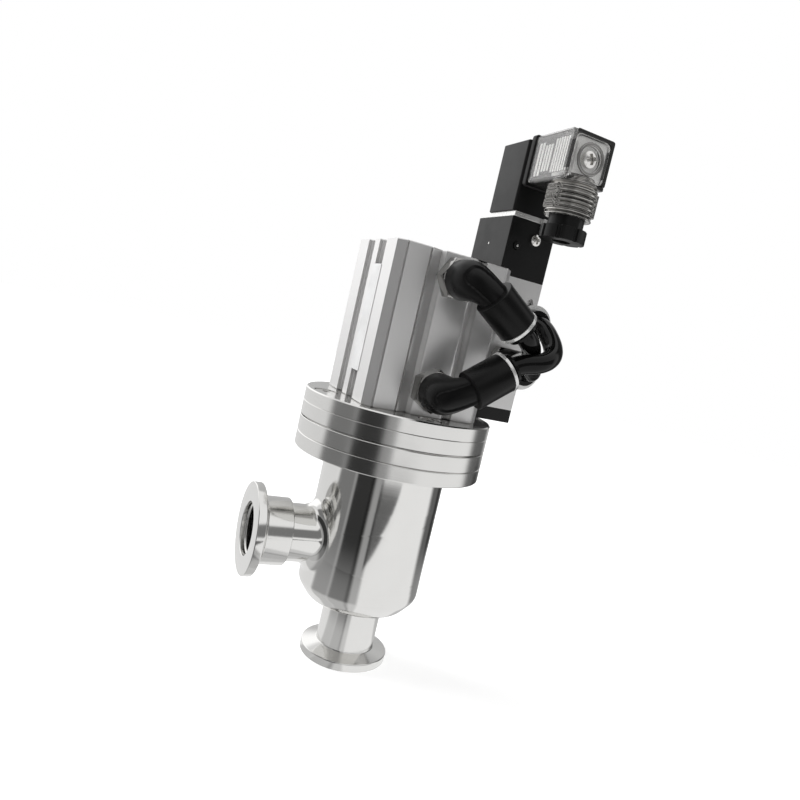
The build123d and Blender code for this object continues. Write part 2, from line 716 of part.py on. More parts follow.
# Short hoses that cross between the cylinder and the solenoid valve
def along_arm(z, angle, distance):
    """Point on an elbow arm's axis."""
    a = radians(angle)
    return (distance * cos(a), FRONT_Y - ARM_OUT, z + distance * sin(a))


def hose(points, radii):
    """Hose swept along straight runs joined by arcs."""
    path = FilletPolyline(*points, radius=radii)
    start = Plane(origin=path @ 0, z_dir=path % 0)
    outer = sweep(start * Circle(HOSE_R), path=path)
    inner = sweep(start * Circle(HOSE_R - HOSE_WALL), path=path)
    print("hose length", round(path.length, 1), "volume per length", round(outer.volume / path.length, 2))
    return outer - inner


hose_start = ARM_END - HOSE_INSERT
hose_end_y = VALVE_Y - STRAIGHT_END + HOSE_INSERT
elbow_axis_y = FRONT_Y - ARM_OUT
lower_points = [
    along_arm(LOWER_PORT_Z, LOWER_ARM_ANGLE, hose_start),
    along_arm(LOWER_PORT_Z, LOWER_ARM_ANGLE, LOWER_HOSE_RUN),
    (VALVE_MID_X + LOWER_HOSE_OUT, elbow_axis_y - LOWER_HOSE_FRONT, valve_upper_z - LOWER_HOSE_DROP),
    (VALVE_MID_X, VALVE_Y - LOWER_HOSE_TURN, valve_upper_z),
    (VALVE_MID_X, hose_end_y, valve_upper_z),
]
upper_points = [
    along_arm(UPPER_PORT_Z, UPPER_ARM_ANGLE, hose_start),
    along_arm(UPPER_PORT_Z, UPPER_ARM_ANGLE, UPPER_HOSE_RUN),
    (VALVE_MID_X - UPPER_HOSE_IN, elbow_axis_y + UPPER_HOSE_BACK, valve_lower_z + UPPER_HOSE_RISE),
    (VALVE_MID_X, VALVE_Y - UPPER_HOSE_TURN, valve_lower_z),
    (VALVE_MID_X, hose_end_y, valve_lower_z),
]
parts["lower_hose"] = hose(lower_points, LOWER_HOSE_RADII)
parts["upper_hose"] = hose(upper_points, UPPER_HOSE_RADII)


# Solenoid valve
valve_right = VALVE_X + VALVE_W
valve_back = VALVE_Y + VALVE_DEPTH
spool_r = SPOOL_BORE_D / 2
spool_low = VALVE_BODY_Z + SPOOL_FLOOR
spool_top = PILOT_Z - 2 * RUNNING
land_r = spool_r - RUNNING


def small_screw(plane, length):
    """Small cross-head screw along a plane's normal: head outside, shank going in."""
    head = rod(plane, SMALL_HEAD_D / 2, 0, SMALL_HEAD_H)
    slot = plane * (Pos(0, 0, SMALL_HEAD_H) * Box(SMALL_HEAD_D * 0.6, 0.6, 1.2))
    cross = plane * (Pos(0, 0, SMALL_HEAD_H) * Box(0.6, SMALL_HEAD_D * 0.6, 1.2))
    return head + rod(plane, SMALL_SCREW_D / 2, -length, 0) - slot - cross


def mount_holes(radius, start, end):
    """The two cross holes for the screws that hold the solenoid valve."""
    low = facing(valve_right, 0, VALVE_BODY_Z + MOUNT_SCREW_LOW, (-1, 0, 0))
    high = facing(valve_right, 0, VALVE_BODY_Z + MOUNT_SCREW_HIGH, (-1, 0, 0))
    return [rod(low, radius, start, end), rod(high, radius, start, end)]


def valve_body():
    """Valve block with the spool bore, its ports and the cross holes for its screws."""
    body = block(VALVE_X, valve_right, VALVE_Y, valve_back, VALVE_BODY_Z, PILOT_Z)
    body = fillet(body.edges().filter_by(Axis.Z), EDGE)
    body -= disc(spool_r, VALVE_BODY_Z, PILOT_Z, VALVE_MID_X, VALVE_MID_Y)
    for z in (valve_lower_z, valve_upper_z):
        body -= rod(front_plane(VALVE_MID_X, VALVE_Y, z), AIR_PORT_D / 2, VALVE_Y - VALVE_MID_Y, 0)
    supply_z = (valve_lower_z + valve_upper_z) / 2
    for z in (supply_z - SUPPLY_PITCH, supply_z, supply_z + SUPPLY_PITCH):
        back = facing(VALVE_MID_X, valve_back, z, (0, -1, 0))
        body -= rod(back, SUPPLY_D / 2, 0, SUPPLY_DEPTH) + rod(back, SUPPLY_ORIFICE_D / 2, 0, VALVE_DEPTH / 2)
    face_hole = front_plane(valve_right - FACE_HOLE_IN, VALVE_Y, PILOT_Z - FACE_HOLE_DOWN)
    body -= rod(face_hole, FACE_HOLE_D / 2, -FACE_HOLE_DEPTH, 0)
    for hole in mount_holes(MOUNT_SCREW_D / 2 + SCREW_CLEARANCE, 0, VALVE_W):
        body -= hole
    for hole in mount_holes(MOUNT_SCREW_HEAD_D / 2 + SCREW_CLEARANCE, 0, MOUNT_SCREW_HEAD_H + SCREW_CLEARANCE):
        body -= hole
    for y in (-1, 1):
        hole_y = VALVE_MID_Y + y * CAP_SCREW_SPAN / 2
        body -= disc(SMALL_SCREW_D / 2, VALVE_BODY_Z, VALVE_BODY_Z + CAP_SCREW_BITE, VALVE_MID_X, hole_y)
    return body


parts["valve_block"] = valve_body()
spring_pocket_r = SPRING_D / 2 + 0.3
cap_block = block(VALVE_X, valve_right, VALVE_Y, valve_back, CAP_Z, VALVE_BODY_Z)
cap_block = fillet(cap_block.edges().filter_by(Axis.Z), EDGE)
cap_block -= disc(spring_pocket_r, CAP_Z + 1.2, VALVE_BODY_Z, VALVE_MID_X, VALVE_MID_Y)
cap_screws = []
for side in (-1, 1):
    y = VALVE_MID_Y + side * CAP_SCREW_SPAN / 2
    cap_block -= disc(SMALL_SCREW_D / 2, CAP_Z, VALVE_BODY_Z, VALVE_MID_X, y)
    cap_block -= disc(SMALL_HEAD_D / 2 + RUNNING, CAP_Z, CAP_Z + SMALL_HEAD_H, VALVE_MID_X, y)
    plane = facing(VALVE_MID_X, y, CAP_Z + SMALL_HEAD_H, (0, 0, -1))
    cap_screws.append(small_screw(plane, CAP_T + CAP_SCREW_BITE - SMALL_HEAD_H))
parts["end_cap"] = cap_block
parts["end_cap_screws"] = Compound(children=cap_screws)


def spool():
    """Spool with a land at each seal and a waist between them, and its seal rings."""
    body = disc(SPOOL_CORE_D / 2, spool_low, spool_top, VALVE_MID_X, VALVE_MID_Y)
    pitch = (spool_top - spool_low - SPOOL_LAND_T) / (SPOOL_SEALS - 1)
    seals = []
    for i in range(SPOOL_SEALS):
        z = spool_low + i * pitch
        body += disc(land_r, z, z + SPOOL_LAND_T, VALVE_MID_X, VALVE_MID_Y)
        mid = z + (SPOOL_LAND_T - SPOOL_SEAL_D) / 2
        seal = ring(land_r, land_r - SPOOL_SEAL_D, mid, mid + SPOOL_SEAL_D, VALVE_MID_X, VALVE_MID_Y)
        body -= seal
        seals.append(seal)
    return body, Compound(children=seals)


parts["spool"], parts["spool_seals"] = spool()


def coil_spring(x, y, z0, z1, mean_d, wire, turns):
    """Compression spring: a helix of round wire."""
    r = wire / 2
    path = Pos(x, y, z0 + r) * Helix((z1 - z0 - wire) / turns, z1 - z0 - wire, mean_d / 2)
    start = Plane(origin=path @ 0, z_dir=path % 0)
    return sweep(start * Circle(r), path=path, is_frenet=True)


parts["spool_spring"] = coil_spring(
    VALVE_MID_X, VALVE_MID_Y, CAP_Z + 1.25, spool_low - 0.05, SPRING_D - SPRING_WIRE, SPRING_WIRE, SPRING_TURNS)

# Pilot block, override button, yoke and coil
override_x = VALVE_X + OVERRIDE_X
override_z = PILOT_Z + OVERRIDE_UP
override_plane = front_plane(override_x, VALVE_Y, override_z)
pilot_screw_x = VALVE_MID_X + PILOT_SCREW_X
pilot_screw_z = PILOT_Z + PILOT_SCREW_UP
core_r = CORE_TUBE_D / 2


def pilot_block():
    """Pilot block on top of the valve, with bores for the override button and the core tube."""
    body = block(VALVE_X, valve_right, VALVE_Y, valve_back, PILOT_Z, YOKE_Z)
    body = fillet(body.edges().filter_by(Axis.Z), EDGE)
    body -= rod(override_plane, OVERRIDE_D / 2 + RUNNING, -OVERRIDE_L - OVERRIDE_TRAVEL, 0)
    body -= disc(core_r + CORE_TUBE_WALL, YOKE_Z - CORE_FOOT, YOKE_Z, VALVE_MID_X, COIL_MID_Y)
    body -= disc(STUD_BORE_D / 2, PILOT_Z, YOKE_Z, VALVE_MID_X, COIL_MID_Y)
    for plane in pilot_screw_planes:
        body -= rod(plane, SMALL_SCREW_D / 2, -PILOT_SCREW_L, 0)
    return body


pilot_screw_planes = [
    front_plane(pilot_screw_x, VALVE_Y, pilot_screw_z),
    facing(pilot_screw_x, valve_back, pilot_screw_z, (0, 1, 0)),
]
parts["pilot_block"] = pilot_block()
parts["pilot_screws"] = Compound(children=[small_screw(p, PILOT_SCREW_L) for p in pilot_screw_planes])
parts["override_button"] = rod(override_plane, OVERRIDE_D / 2, -OVERRIDE_L, OVERRIDE_PROUD)
yoke = block(
    VALVE_X + YOKE_INSET, valve_right - YOKE_INSET, VALVE_Y, valve_back - YOKE_INSET, YOKE_Z, COIL_Z)
tab_x1 = valve_right - TAB_FROM_RIGHT
yoke += block(tab_x1 - TAB_W, tab_x1, VALVE_Y - TAB_T, VALVE_Y, YOKE_Z - TAB_DROP, COIL_Z)
yoke -= disc(core_r, YOKE_Z, COIL_Z, VALVE_MID_X, COIL_MID_Y)
parts["yoke_plate"] = yoke
coil_x0 = VALVE_MID_X - COIL_W / 2
coil_top = COIL_Z + COIL_H
coil = block(coil_x0, coil_x0 + COIL_W, COIL_Y, COIL_Y + COIL_DEPTH, COIL_Z, coil_top)
coil = fillet(coil.edges().filter_by(Axis.Z), COIL_EDGE)
coil = fillet(coil.faces().sort_by(Axis.Z)[-1].edges(), COIL_EDGE / 2)
coil -= disc(core_r, COIL_Z, coil_top, VALVE_MID_X, COIL_MID_Y)
parts["coil"] = coil
core_floor = YOKE_Z - CORE_FOOT
core_end = coil_top - CORE_PLUG_L
core = disc(core_r, core_floor, coil_top, VALVE_MID_X, COIL_MID_Y)
core += disc(core_r + CORE_TUBE_WALL, core_floor, core_floor + CORE_FOOT, VALVE_MID_X, COIL_MID_Y)
core += disc(COIL_NUT_THREAD_D / 2, coil_top, coil_top + COIL_NUT_T + 0.6, VALVE_MID_X, COIL_MID_Y)
core -= disc(core_r - CORE_TUBE_WALL, core_floor, core_end, VALVE_MID_X, COIL_MID_Y)
parts["core_tube"] = core
plunger_top = core_end - PLUNGER_TRAVEL - RUNNING
plunger_pocket = disc(spring_pocket_r, plunger_top - PLUNGER_POCKET, plunger_top, VALVE_MID_X, COIL_MID_Y)
plunger = disc(PLUNGER_D / 2, core_floor + RUNNING, plunger_top, VALVE_MID_X, COIL_MID_Y)
parts["plunger"] = plunger - plunger_pocket
parts["plunger_spring"] = coil_spring(
    VALVE_MID_X, COIL_MID_Y, plunger_top - PLUNGER_POCKET + RUNNING, core_end - RUNNING,
    SPRING_D - SPRING_WIRE, SPRING_WIRE, SPRING_TURNS)
nut_plane = Plane(origin=(VALVE_MID_X, COIL_MID_Y, coil_top))
coil_nut = hexagon(nut_plane, COIL_NUT_AF, 0, COIL_NUT_T)
parts["coil_nut"] = coil_nut - rod(nut_plane, COIL_NUT_THREAD_D / 2, 0, COIL_NUT_T)

# Plug on the coil
plug_x0 = VALVE_MID_X - PLUG_W / 2
plug_x1 = plug_x0 + PLUG_W
plug_top = PLUG_Z + PLUG_H
inner_x0 = plug_x0 + PLUG_WALL
inner_x1 = plug_x1 - PLUG_WALL
parts["plug_gasket"] = block(
    plug_x0 - GASKET_LIP, plug_x1 + GASKET_LIP, PLUG_BACK_Y, COIL_Y, PLUG_Z - GASKET_LIP, plug_top + GASKET_LIP)


def plug_housing():
    """Clear plug housing, open towards the coil, with the ribbed cable gland below it."""
    shell = block(plug_x0, plug_x1, PLUG_FRONT_Y, PLUG_BACK_Y, PLUG_Z, plug_top)
    shell = fillet(shell.edges().filter_by(Axis.Y), PLUG_EDGE)
    gland_top = PLUG_Z
    gland = disc(GLAND_D / 2 - GLAND_RIB, PLUG_Z - GLAND_H, gland_top, VALVE_MID_X, GLAND_Y)
    pitch = GLAND_H / GLAND_RIBS
    for i in range(GLAND_RIBS):
        z = PLUG_Z - GLAND_H + i * pitch
        gland += disc(GLAND_D / 2, z, z + pitch / 2, VALVE_MID_X, GLAND_Y)
    gland += block(
        VALVE_MID_X - GLAND_PAD_W / 2, VALVE_MID_X + GLAND_PAD_W / 2,
        GLAND_Y - GLAND_PAD_DEPTH / 2, GLAND_Y + GLAND_PAD_DEPTH / 2,
        PLUG_Z - GLAND_H + pitch, PLUG_Z - GLAND_PAD_TOP)
    cone = Pos(VALVE_MID_X, GLAND_Y, PLUG_Z) * Cone(GLAND_D / 2, GLAND_D / 2 - GLAND_CONE, GLAND_CONE, align=BASE)
    gland += cone
    shell += gland
    shell -= block(
        inner_x0, inner_x1, PLUG_FRONT_Y + 2 * PLUG_WALL, PLUG_BACK_Y, PLUG_Z + PLUG_WALL, plug_top - PLUG_WALL)
    shell -= disc(GLAND_BORE_D / 2, PLUG_Z - GLAND_H, PLUG_Z + PLUG_WALL, VALVE_MID_X, GLAND_Y)
    face = front_plane(VALVE_MID_X, PLUG_FRONT_Y, PLUG_MID_Z)
    shell -= rod(face, PLUG_SCREW_RECESS_D / 2, -PLUG_SCREW_RECESS, 0)
    return shell - rod(face, PLUG_SCREW_D / 2 + SCREW_CLEARANCE, -2 * PLUG_WALL, 0)


parts["plug_housing"] = plug_housing()
screw_face = front_plane(VALVE_MID_X, PLUG_FRONT_Y + PLUG_SCREW_RECESS, PLUG_MID_Z)
screw_reach = PLUG_DEPTH - PLUG_SCREW_RECESS
terminal_y0 = PLUG_BACK_Y - TERMINAL_L
terminals = block(
    VALVE_MID_X - TERMINAL_W / 2, VALVE_MID_X + TERMINAL_W / 2, terminal_y0, PLUG_BACK_Y,
    PLUG_MID_Z - TERMINAL_H / 2, PLUG_MID_Z + TERMINAL_H / 2)
terminals -= rod(screw_face, PLUG_SCREW_D / 2, -screw_reach, 0)
parts["terminal_block"] = terminals
plug_screw = rod(screw_face, PLUG_SCREW_HEAD_D / 2, 0, 2.2) + rod(screw_face, PLUG_SCREW_D / 2, -screw_reach, 0)
plug_screw -= screw_face * (Pos(0, 0, 2.2) * Box(PLUG_SCREW_HEAD_D * 0.7, 0.8, 1.6))
plug_screw -= screw_face * (Pos(0, 0, 2.2) * Box(0.8, PLUG_SCREW_HEAD_D * 0.7, 1.6))
parts["plug_screw"] = plug_screw
nut_top = PLUG_Z - GLAND_H
nut_low = nut_top - GLAND_NUT_H
grip_top = nut_top - GLAND_NUT_NECK
gland_nut = disc(GLAND_NUT_D / 2, nut_low, grip_top, VALVE_MID_X, GLAND_Y)
gland_nut += disc(GLAND_NUT_NECK_D / 2, grip_top, nut_top, VALVE_MID_X, GLAND_Y)
gland_nut += disc(GLAND_BORE_D / 2, nut_top, nut_top + GLAND_NUT_THREAD, VALVE_MID_X, GLAND_Y)
for x, y in spread(GLAND_NUT_D / 2, GRIP_COUNT):
    gland_nut -= disc(GRIP_R, nut_low, grip_top, VALVE_MID_X + x, GLAND_Y + y)
gland_nut -= disc(CABLE_BORE_D / 2, nut_low, nut_top + GLAND_NUT_THREAD, VALVE_MID_X, GLAND_Y)
parts["gland_nut"] = gland_nut

# Mounting plate between the cylinder and the solenoid valve
mount_y0 = VALVE_MID_Y - MOUNT_PLATE_DEPTH / 2 - 1.0
mount_z0 = VALVE_BODY_Z + 1.0
plate = block(BODY_HALF, VALVE_X, mount_y0, mount_y0 + MOUNT_PLATE_DEPTH, mount_z0, mount_z0 + MOUNT_PLATE_H)
plate_reach = VALVE_X + VALVE_W - BODY_HALF
for hole in mount_holes(MOUNT_SCREW_D / 2, VALVE_W, plate_reach):
    plate -= hole
parts["mounting_plate"] = plate
screws = []
for shank, head in zip(
    mount_holes(MOUNT_SCREW_D / 2, MOUNT_SCREW_HEAD_H, plate_reach + MOUNT_SCREW_BITE),
    mount_holes(MOUNT_SCREW_HEAD_D / 2, 0.1, MOUNT_SCREW_HEAD_H),
):
    screws.append(shank + head)
parts["mounting_screws"] = Compound(children=screws)

os.makedirs("parts", exist_ok=True)
for name, shape in parts.items():
    export_step(shape, f"parts/{name}.step")
print(len(parts), "nodes")
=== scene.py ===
"""Vacuum angle valve: finishes, fine pieces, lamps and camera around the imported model.

Sizes are millimetres in the object's frame: the bottom port's face is at height 0, +Z runs up the
main axis, the side port points along -X and the air ports face -Y. Meshes are made in metres.
"""

import logging
from dataclasses import dataclass
from enum import Enum
from math import cos, pi, radians, sin
from typing import Sequence, Union

import bmesh
import bpy
import numpy as np
from mathutils import Matrix, Vector


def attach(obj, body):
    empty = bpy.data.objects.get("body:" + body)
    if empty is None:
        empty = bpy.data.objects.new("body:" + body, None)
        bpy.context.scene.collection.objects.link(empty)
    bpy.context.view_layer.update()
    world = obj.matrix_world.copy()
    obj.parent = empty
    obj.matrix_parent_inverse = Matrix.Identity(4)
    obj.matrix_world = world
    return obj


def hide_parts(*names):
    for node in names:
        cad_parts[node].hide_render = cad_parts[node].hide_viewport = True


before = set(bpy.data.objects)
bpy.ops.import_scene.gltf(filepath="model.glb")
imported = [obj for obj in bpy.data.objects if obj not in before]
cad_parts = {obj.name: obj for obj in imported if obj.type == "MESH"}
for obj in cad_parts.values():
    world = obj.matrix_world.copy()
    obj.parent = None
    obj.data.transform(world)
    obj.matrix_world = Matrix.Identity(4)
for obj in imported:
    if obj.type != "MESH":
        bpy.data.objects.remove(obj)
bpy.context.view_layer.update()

LOG = logging.getLogger("valve")
# Metres in a millimetre
MM = 0.001
# Degrees over which an edge counts as sharp, on turned pieces, on straight runs and on blocks
SHARP = 32.0
RUN_SHARP = 25.0
BLOCK_CRISP = 3.0
# Distances in metres at which points are merged, and at which they count as level
MERGE = 1e-6
CAD_MERGE = 2e-6
TINY = 1e-7
# Degrees under which two faces of a CAD node count as one
FLAT = 0.3
# Noise hardly leaves this range, so what follows it is spread over it
SPAN = (0.3, 0.7)
WHITE = (1.0, 1.0, 1.0, 1.0)
Point = tuple[float, float, float]
Colour = tuple[float, float, float]


class Body(Enum):
    """The bodies that a piece can ride on."""

    VALVE = "valve"
    OVERRIDE = "override"
    UPPER_ELBOW = "upper_elbow_release"
    LOWER_ELBOW = "lower_elbow_release"
    UPPER_STRAIGHT = "upper_valve_release"
    LOWER_STRAIGHT = "lower_valve_release"


class Axis(Enum):
    """The direction that a turned piece is turned about."""

    X = 0
    Y = 1
    Z = 2


# Shader graphs
class Signal:
    """One output socket that Python's operators work on; each operator adds a Math node."""

    def __init__(self, graph: "Graph", socket: bpy.types.NodeSocket | None) -> None:
        """Wraps a socket of a graph's node, or nothing for an output node."""
        self.graph = graph
        self.socket = socket

    def math(self, operation: str, *values: "Value") -> "Signal":
        """Adds a Math node for one operation on the given values."""
        return self.graph.node("ShaderNodeMath", {"operation": operation}, dict(enumerate(values)))

    def __add__(self, other: "Value") -> "Signal":
        """Sum."""
        return self.math("ADD", self, other)

    def __sub__(self, other: "Value") -> "Signal":
        """Difference."""
        return self.math("SUBTRACT", self, other)

    def __rsub__(self, other: "Value") -> "Signal":
        """Difference from a number."""
        return self.math("SUBTRACT", other, self)

    def __mul__(self, other: "Value") -> "Signal":
        """Product."""
        return self.math("MULTIPLY", self, other)

    def __truediv__(self, other: "Value") -> "Signal":
        """Quotient."""
        return self.math("DIVIDE", self, other)

    def __pow__(self, other: "Value") -> "Signal":
        """Power."""
        return self.math("POWER", self, other)

    __radd__ = __add__
    __rmul__ = __mul__

    def larger(self, other: "Value") -> "Signal":
        """The larger of two values."""
        return self.math("MAXIMUM", self, other)

    def rise(self, low: float, high: float) -> "Signal":
        """Smooth step from 0 at low to 1 at high.

        Args:
            low: Where the step starts.
            high: Where it ends.

        Returns:
            The share of the way, as 3 t squared less 2 t cubed.
        """
        return self.graph.node(
            "ShaderNodeMapRange", {"interpolation_type": "SMOOTHSTEP"},
            {"Value": self, "From Min": low, "From Max": high})

    def out(self, name: str) -> "Signal":
        """Another output of the same node."""
        return Signal(self.graph, self.socket.node.outputs[name])


Value = Union[Signal, float, int, tuple, Vector]


class Graph:
    """The node tree of a material or the world, and the one method that adds nodes to it."""

    def __init__(self, tree: bpy.types.NodeTree) -> None:
        """Starts with an empty tree."""
        self.tree = tree
        tree.nodes.clear()

    def node(self, kind: str, settings: dict | None = None, inputs: dict | None = None,
             output: int | str = 0) -> Signal:
        """Adds a node.

        Args:
            kind: Blender's type name of the node.
            settings: Attributes to set first.
            inputs: Values or signals for the node's sockets, by name or number.
            output: The output to wrap.

        Returns:
            The chosen output.
        """
        made = self.tree.nodes.new(kind)
        for key, value in (settings or {}).items():
            setattr(made, key, value)
        for key, value in (inputs or {}).items():
            if isinstance(value, Signal):
                self.tree.links.new(value.socket, made.inputs[key])
            else:
                made.inputs[key].default_value = value
        return Signal(self, made.outputs[output] if made.outputs else None)

    def place(self, centre: Point = (0.0, 0.0, 0.0), scale: Point = (1.0, 1.0, 1.0)) -> Signal:
        """Object coordinates about a centre, scaled along each axis.

        Args:
            centre: The centre in millimetres.
            scale: Factor along each axis.

        Returns:
            The coordinates, in metres times the factors.
        """
        shift = [-c * MM * s for c, s in zip(centre, scale)]
        raw = self.node("ShaderNodeTexCoord", output="Object")
        return self.node("ShaderNodeMapping", inputs={"Vector": raw, "Location": shift, "Scale": scale})

    def split(self, vector: Signal) -> tuple[Signal, Signal, Signal]:
        """The three parts of a vector."""
        parts = self.node("ShaderNodeSeparateXYZ", inputs={0: vector})
        return parts, parts.out("Y"), parts.out("Z")

    def noise(self, vector: Signal, scale: float = 1.0, detail: float = 2.0) -> Signal:
        """Smooth noise from 0 to 1."""
        return self.node("ShaderNodeTexNoise", inputs={"Vector": vector, "Scale": scale, "Detail": detail})

    def blend(self, factor: Value, low: Value, high: Value) -> Signal:
        """Colour between two colours."""
        return self.node("ShaderNodeMix", {"data_type": "RGBA"}, {0: factor, 6: low, 7: high}, 2)

    def bump(self, height: Signal, depth: float) -> Signal:
        """Normal from a height map whose full range is depth millimetres."""
        return self.node("ShaderNodeBump", inputs={"Height": height, "Distance": depth * MM, "Strength": 1.0})


def opaque(colour: Colour) -> tuple[float, float, float, float]:
    """A colour with full alpha."""
    return (*colour, 1.0)


def tinted(colour: Colour, factor: float) -> tuple[float, float, float, float]:
    """A colour made darker or lighter by a factor, with full alpha."""
    return opaque(tuple(min(1.0, c * factor) for c in colour))


@dataclass(frozen=True)
class Finish:
    """A surface finish, made once into a material.

    Args:
        name: Name of the material.
        slot: The record's material slot; not used.
        colour: Linear base colour.
    """

    name: str
    slot: str
    colour: Colour

    def sockets(self, graph: Graph) -> dict[str, Value]:
        """Values and signals for the sockets of the surface shader."""
        raise NotImplementedError

    def material(self) -> bpy.types.Material:
        """The material, made on its first use.

        Returns:
            The one material of this finish.
        """
        made = bpy.data.materials.get(self.name)
        if made:
            return made
        made = bpy.data.materials.new(self.name)
        made.use_nodes = True
        graph = Graph(made.node_tree)
        surface = graph.node("ShaderNodeBsdfPrincipled", inputs=self.sockets(graph))
        graph.node("ShaderNodeOutputMaterial", inputs={"Surface": surface})
        return made


@dataclass(frozen=True)
class TurnedMetal(Finish):
    """Metal turned on a lathe: fine rings about the axis, and faint smudges.

    Args:
        rough: Lowest and highest roughness.
        axis: Direction of the lathe axis.
        centre: A point on the axis.
        pitch: Distance between tool marks.
        depth: Depth of the tool marks.
        metallic: How metallic the surface is.
        tints: Factors on the colour at the darkest and the lightest tone.
        gain: Contrast of the tone.
        share: Share of the rings in the tone; the rest is smudges.
        smudges: Smudges per metre.
        span: Range of the tone over which the roughness rises.
    """

    rough: tuple[float, float] = (0.1, 0.2)
    axis: Axis = Axis.Z
    centre: Point = (0.0, 0.0, 0.0)
    pitch: float = 0.3
    depth: float = 0.004
    metallic: float = 1.0
    tints: tuple[float, float] = (0.93, 1.05)
    gain: float = 1.0
    share: float = 0.35
    smudges: float = 90.0
    span: tuple[float, float] = (0.25, 0.75)

    def sockets(self, graph: Graph) -> dict[str, Value]:
        """Rings follow noise of the radius and the length along the axis.

        Args:
            graph: The material's graph.

        Returns:
            Values and signals by socket name.
        """
        parts = list(graph.split(graph.place(self.centre)))
        along = parts.pop(self.axis.value)
        radius = (parts[0] * parts[0] + parts[1] * parts[1]) ** 0.5
        per_ring = 1.0 / (self.pitch * MM)
        rings_at = graph.node("ShaderNodeCombineXYZ", inputs={0: radius * per_ring, 1: along * per_ring})
        rings = graph.noise(rings_at, detail=1.0)
        smudge = graph.noise(graph.place(), scale=self.smudges, detail=3.0)
        low, high = self.rough
        tone = rings * self.share + smudge * (1.0 - self.share)
        dark, light = (tinted(self.colour, factor) for factor in self.tints)
        return {
            "Base Color": graph.blend((tone - 0.5) * self.gain + 0.5, dark, light),
            "Metallic": self.metallic,
            "Roughness": tone.rise(*self.span) * (high - low) + low,
            "Normal": graph.bump(rings, self.depth),
        }


@dataclass(frozen=True)
class GrainedMetal(Finish):
    """Satin metal with a fine grain along one axis, as on an extrusion.

    Args:
        rough: Lowest and highest roughness.
        along: Direction of the grain.
        metallic: How metallic the surface is.
        depth: Depth of the grain.
        across: Grains per metre across the grain.
        run: Grains per metre along it.
        speckles: Grains of the speckle per metre.
        clouds: Patches of tone per metre.
        tints: Factors on the colour at the darkest and the lightest tone.
    """

    rough: tuple[float, float] = (0.32, 0.42)
    along: Axis = Axis.Z
    metallic: float = 1.0
    depth: float = 0.004
    across: float = 4200.0
    run: float = 60.0
    speckles: float = 5200.0
    clouds: float = 70.0
    tints: tuple[float, float] = (0.94, 1.05)

    def sockets(self, graph: Graph) -> dict[str, Value]:
        """Grain is noise drawn out along one axis over a fine speckle.

        Args:
            graph: The material's graph.

        Returns:
            Values and signals by socket name.
        """
        fine = [self.across] * 3
        fine[self.along.value] = self.run
        grain = graph.noise(graph.place(scale=tuple(fine)))
        speckle = graph.noise(graph.place(), scale=self.speckles)
        cloud = graph.noise(graph.place(), scale=self.clouds, detail=3.0)
        low, high = self.rough
        tone = grain * 0.5 + cloud * 0.5
        dark, light = (tinted(self.colour, factor) for factor in self.tints)
        return {
            "Base Color": graph.blend(tone, dark, light),
            "Metallic": self.metallic,
            "Roughness": tone.rise(*SPAN) * (high - low) + low,
            "Normal": graph.bump(grain * 0.6 + speckle * 0.4, self.depth),
        }


@dataclass(frozen=True)
class MouldedPlastic(Finish):
    """Opaque moulded plastic or rubber with a fine spark texture.

    Args:
        rough: Lowest and highest roughness.
        texture: Grains of the mould's texture per metre.
        depth: Depth of the texture.
        shine: Strength of the bare surface's reflection.
        painted_glow: Strength of painted light: an emission that stands in for light coming back from inside
            a milky plastic.
        patches: Patches of tone per metre.
        tints: Factors on the colour at the darkest and the lightest tone.
    """

    rough: tuple[float, float] = (0.35, 0.5)
    texture: float = 3600.0
    depth: float = 0.006
    shine: float = 0.2
    painted_glow: float = 0.0
    patches: float = 110.0
    tints: tuple[float, float] = (0.8, 1.25)

    def sockets(self, graph: Graph) -> dict[str, Value]:
        """Texture is fine noise; slow noise varies the tone and the gloss.

        Args:
            graph: The material's graph.

        Returns:
            Values and signals by socket name.
        """
        fine = graph.noise(graph.place(), scale=self.texture)
        slow = graph.noise(graph.place(), scale=self.patches, detail=3.0)
        low, high = self.rough
        dark, light = (tinted(self.colour, factor) for factor in self.tints)
        return {
            "Base Color": graph.blend(slow, dark, light),
            "Roughness": slow.rise(*SPAN) * (high - low) + low,
            "Specular IOR Level": self.shine,
            # Painted light: the surface emits its own colour, though it is no lamp
            "Emission Color": opaque(self.colour),
            "Emission Strength": self.painted_glow,
            "Normal": graph.bump(fine, self.depth),
        }


@dataclass(frozen=True)
class ClearPlastic(Finish):
    """Smoke-clear moulded plastic.

    Args:
        transmission: Share of the light that goes through.
        rough: Lowest and highest roughness.
        flow: Flow marks per metre along each axis.
        index: Index of refraction.
        depth: Depth of the flow marks.
        tints: Factors on the colour at the darkest and the lightest tone.
    """

    transmission: float = 0.9
    rough: tuple[float, float] = (0.03, 0.1)
    flow: Point = (60.0, 60.0, 240.0)
    index: float = 1.49
    depth: float = 0.01
    tints: tuple[float, float] = (0.94, 1.03)

    def sockets(self, graph: Graph) -> dict[str, Value]:
        """Flow marks of the mould vary the gloss a little.

        Args:
            graph: The material's graph.

        Returns:
            Values and signals by socket name.
        """
        flow = graph.noise(graph.place(scale=self.flow), detail=3.0)
        low, high = self.rough
        dark, light = (tinted(self.colour, factor) for factor in self.tints)
        return {
            "Base Color": graph.blend(flow, dark, light),
            "Roughness": flow.rise(*SPAN) * (high - low) + low,
            "IOR": self.index,
            "Transmission Weight": self.transmission,
            "Normal": graph.bump(flow, self.depth),
        }


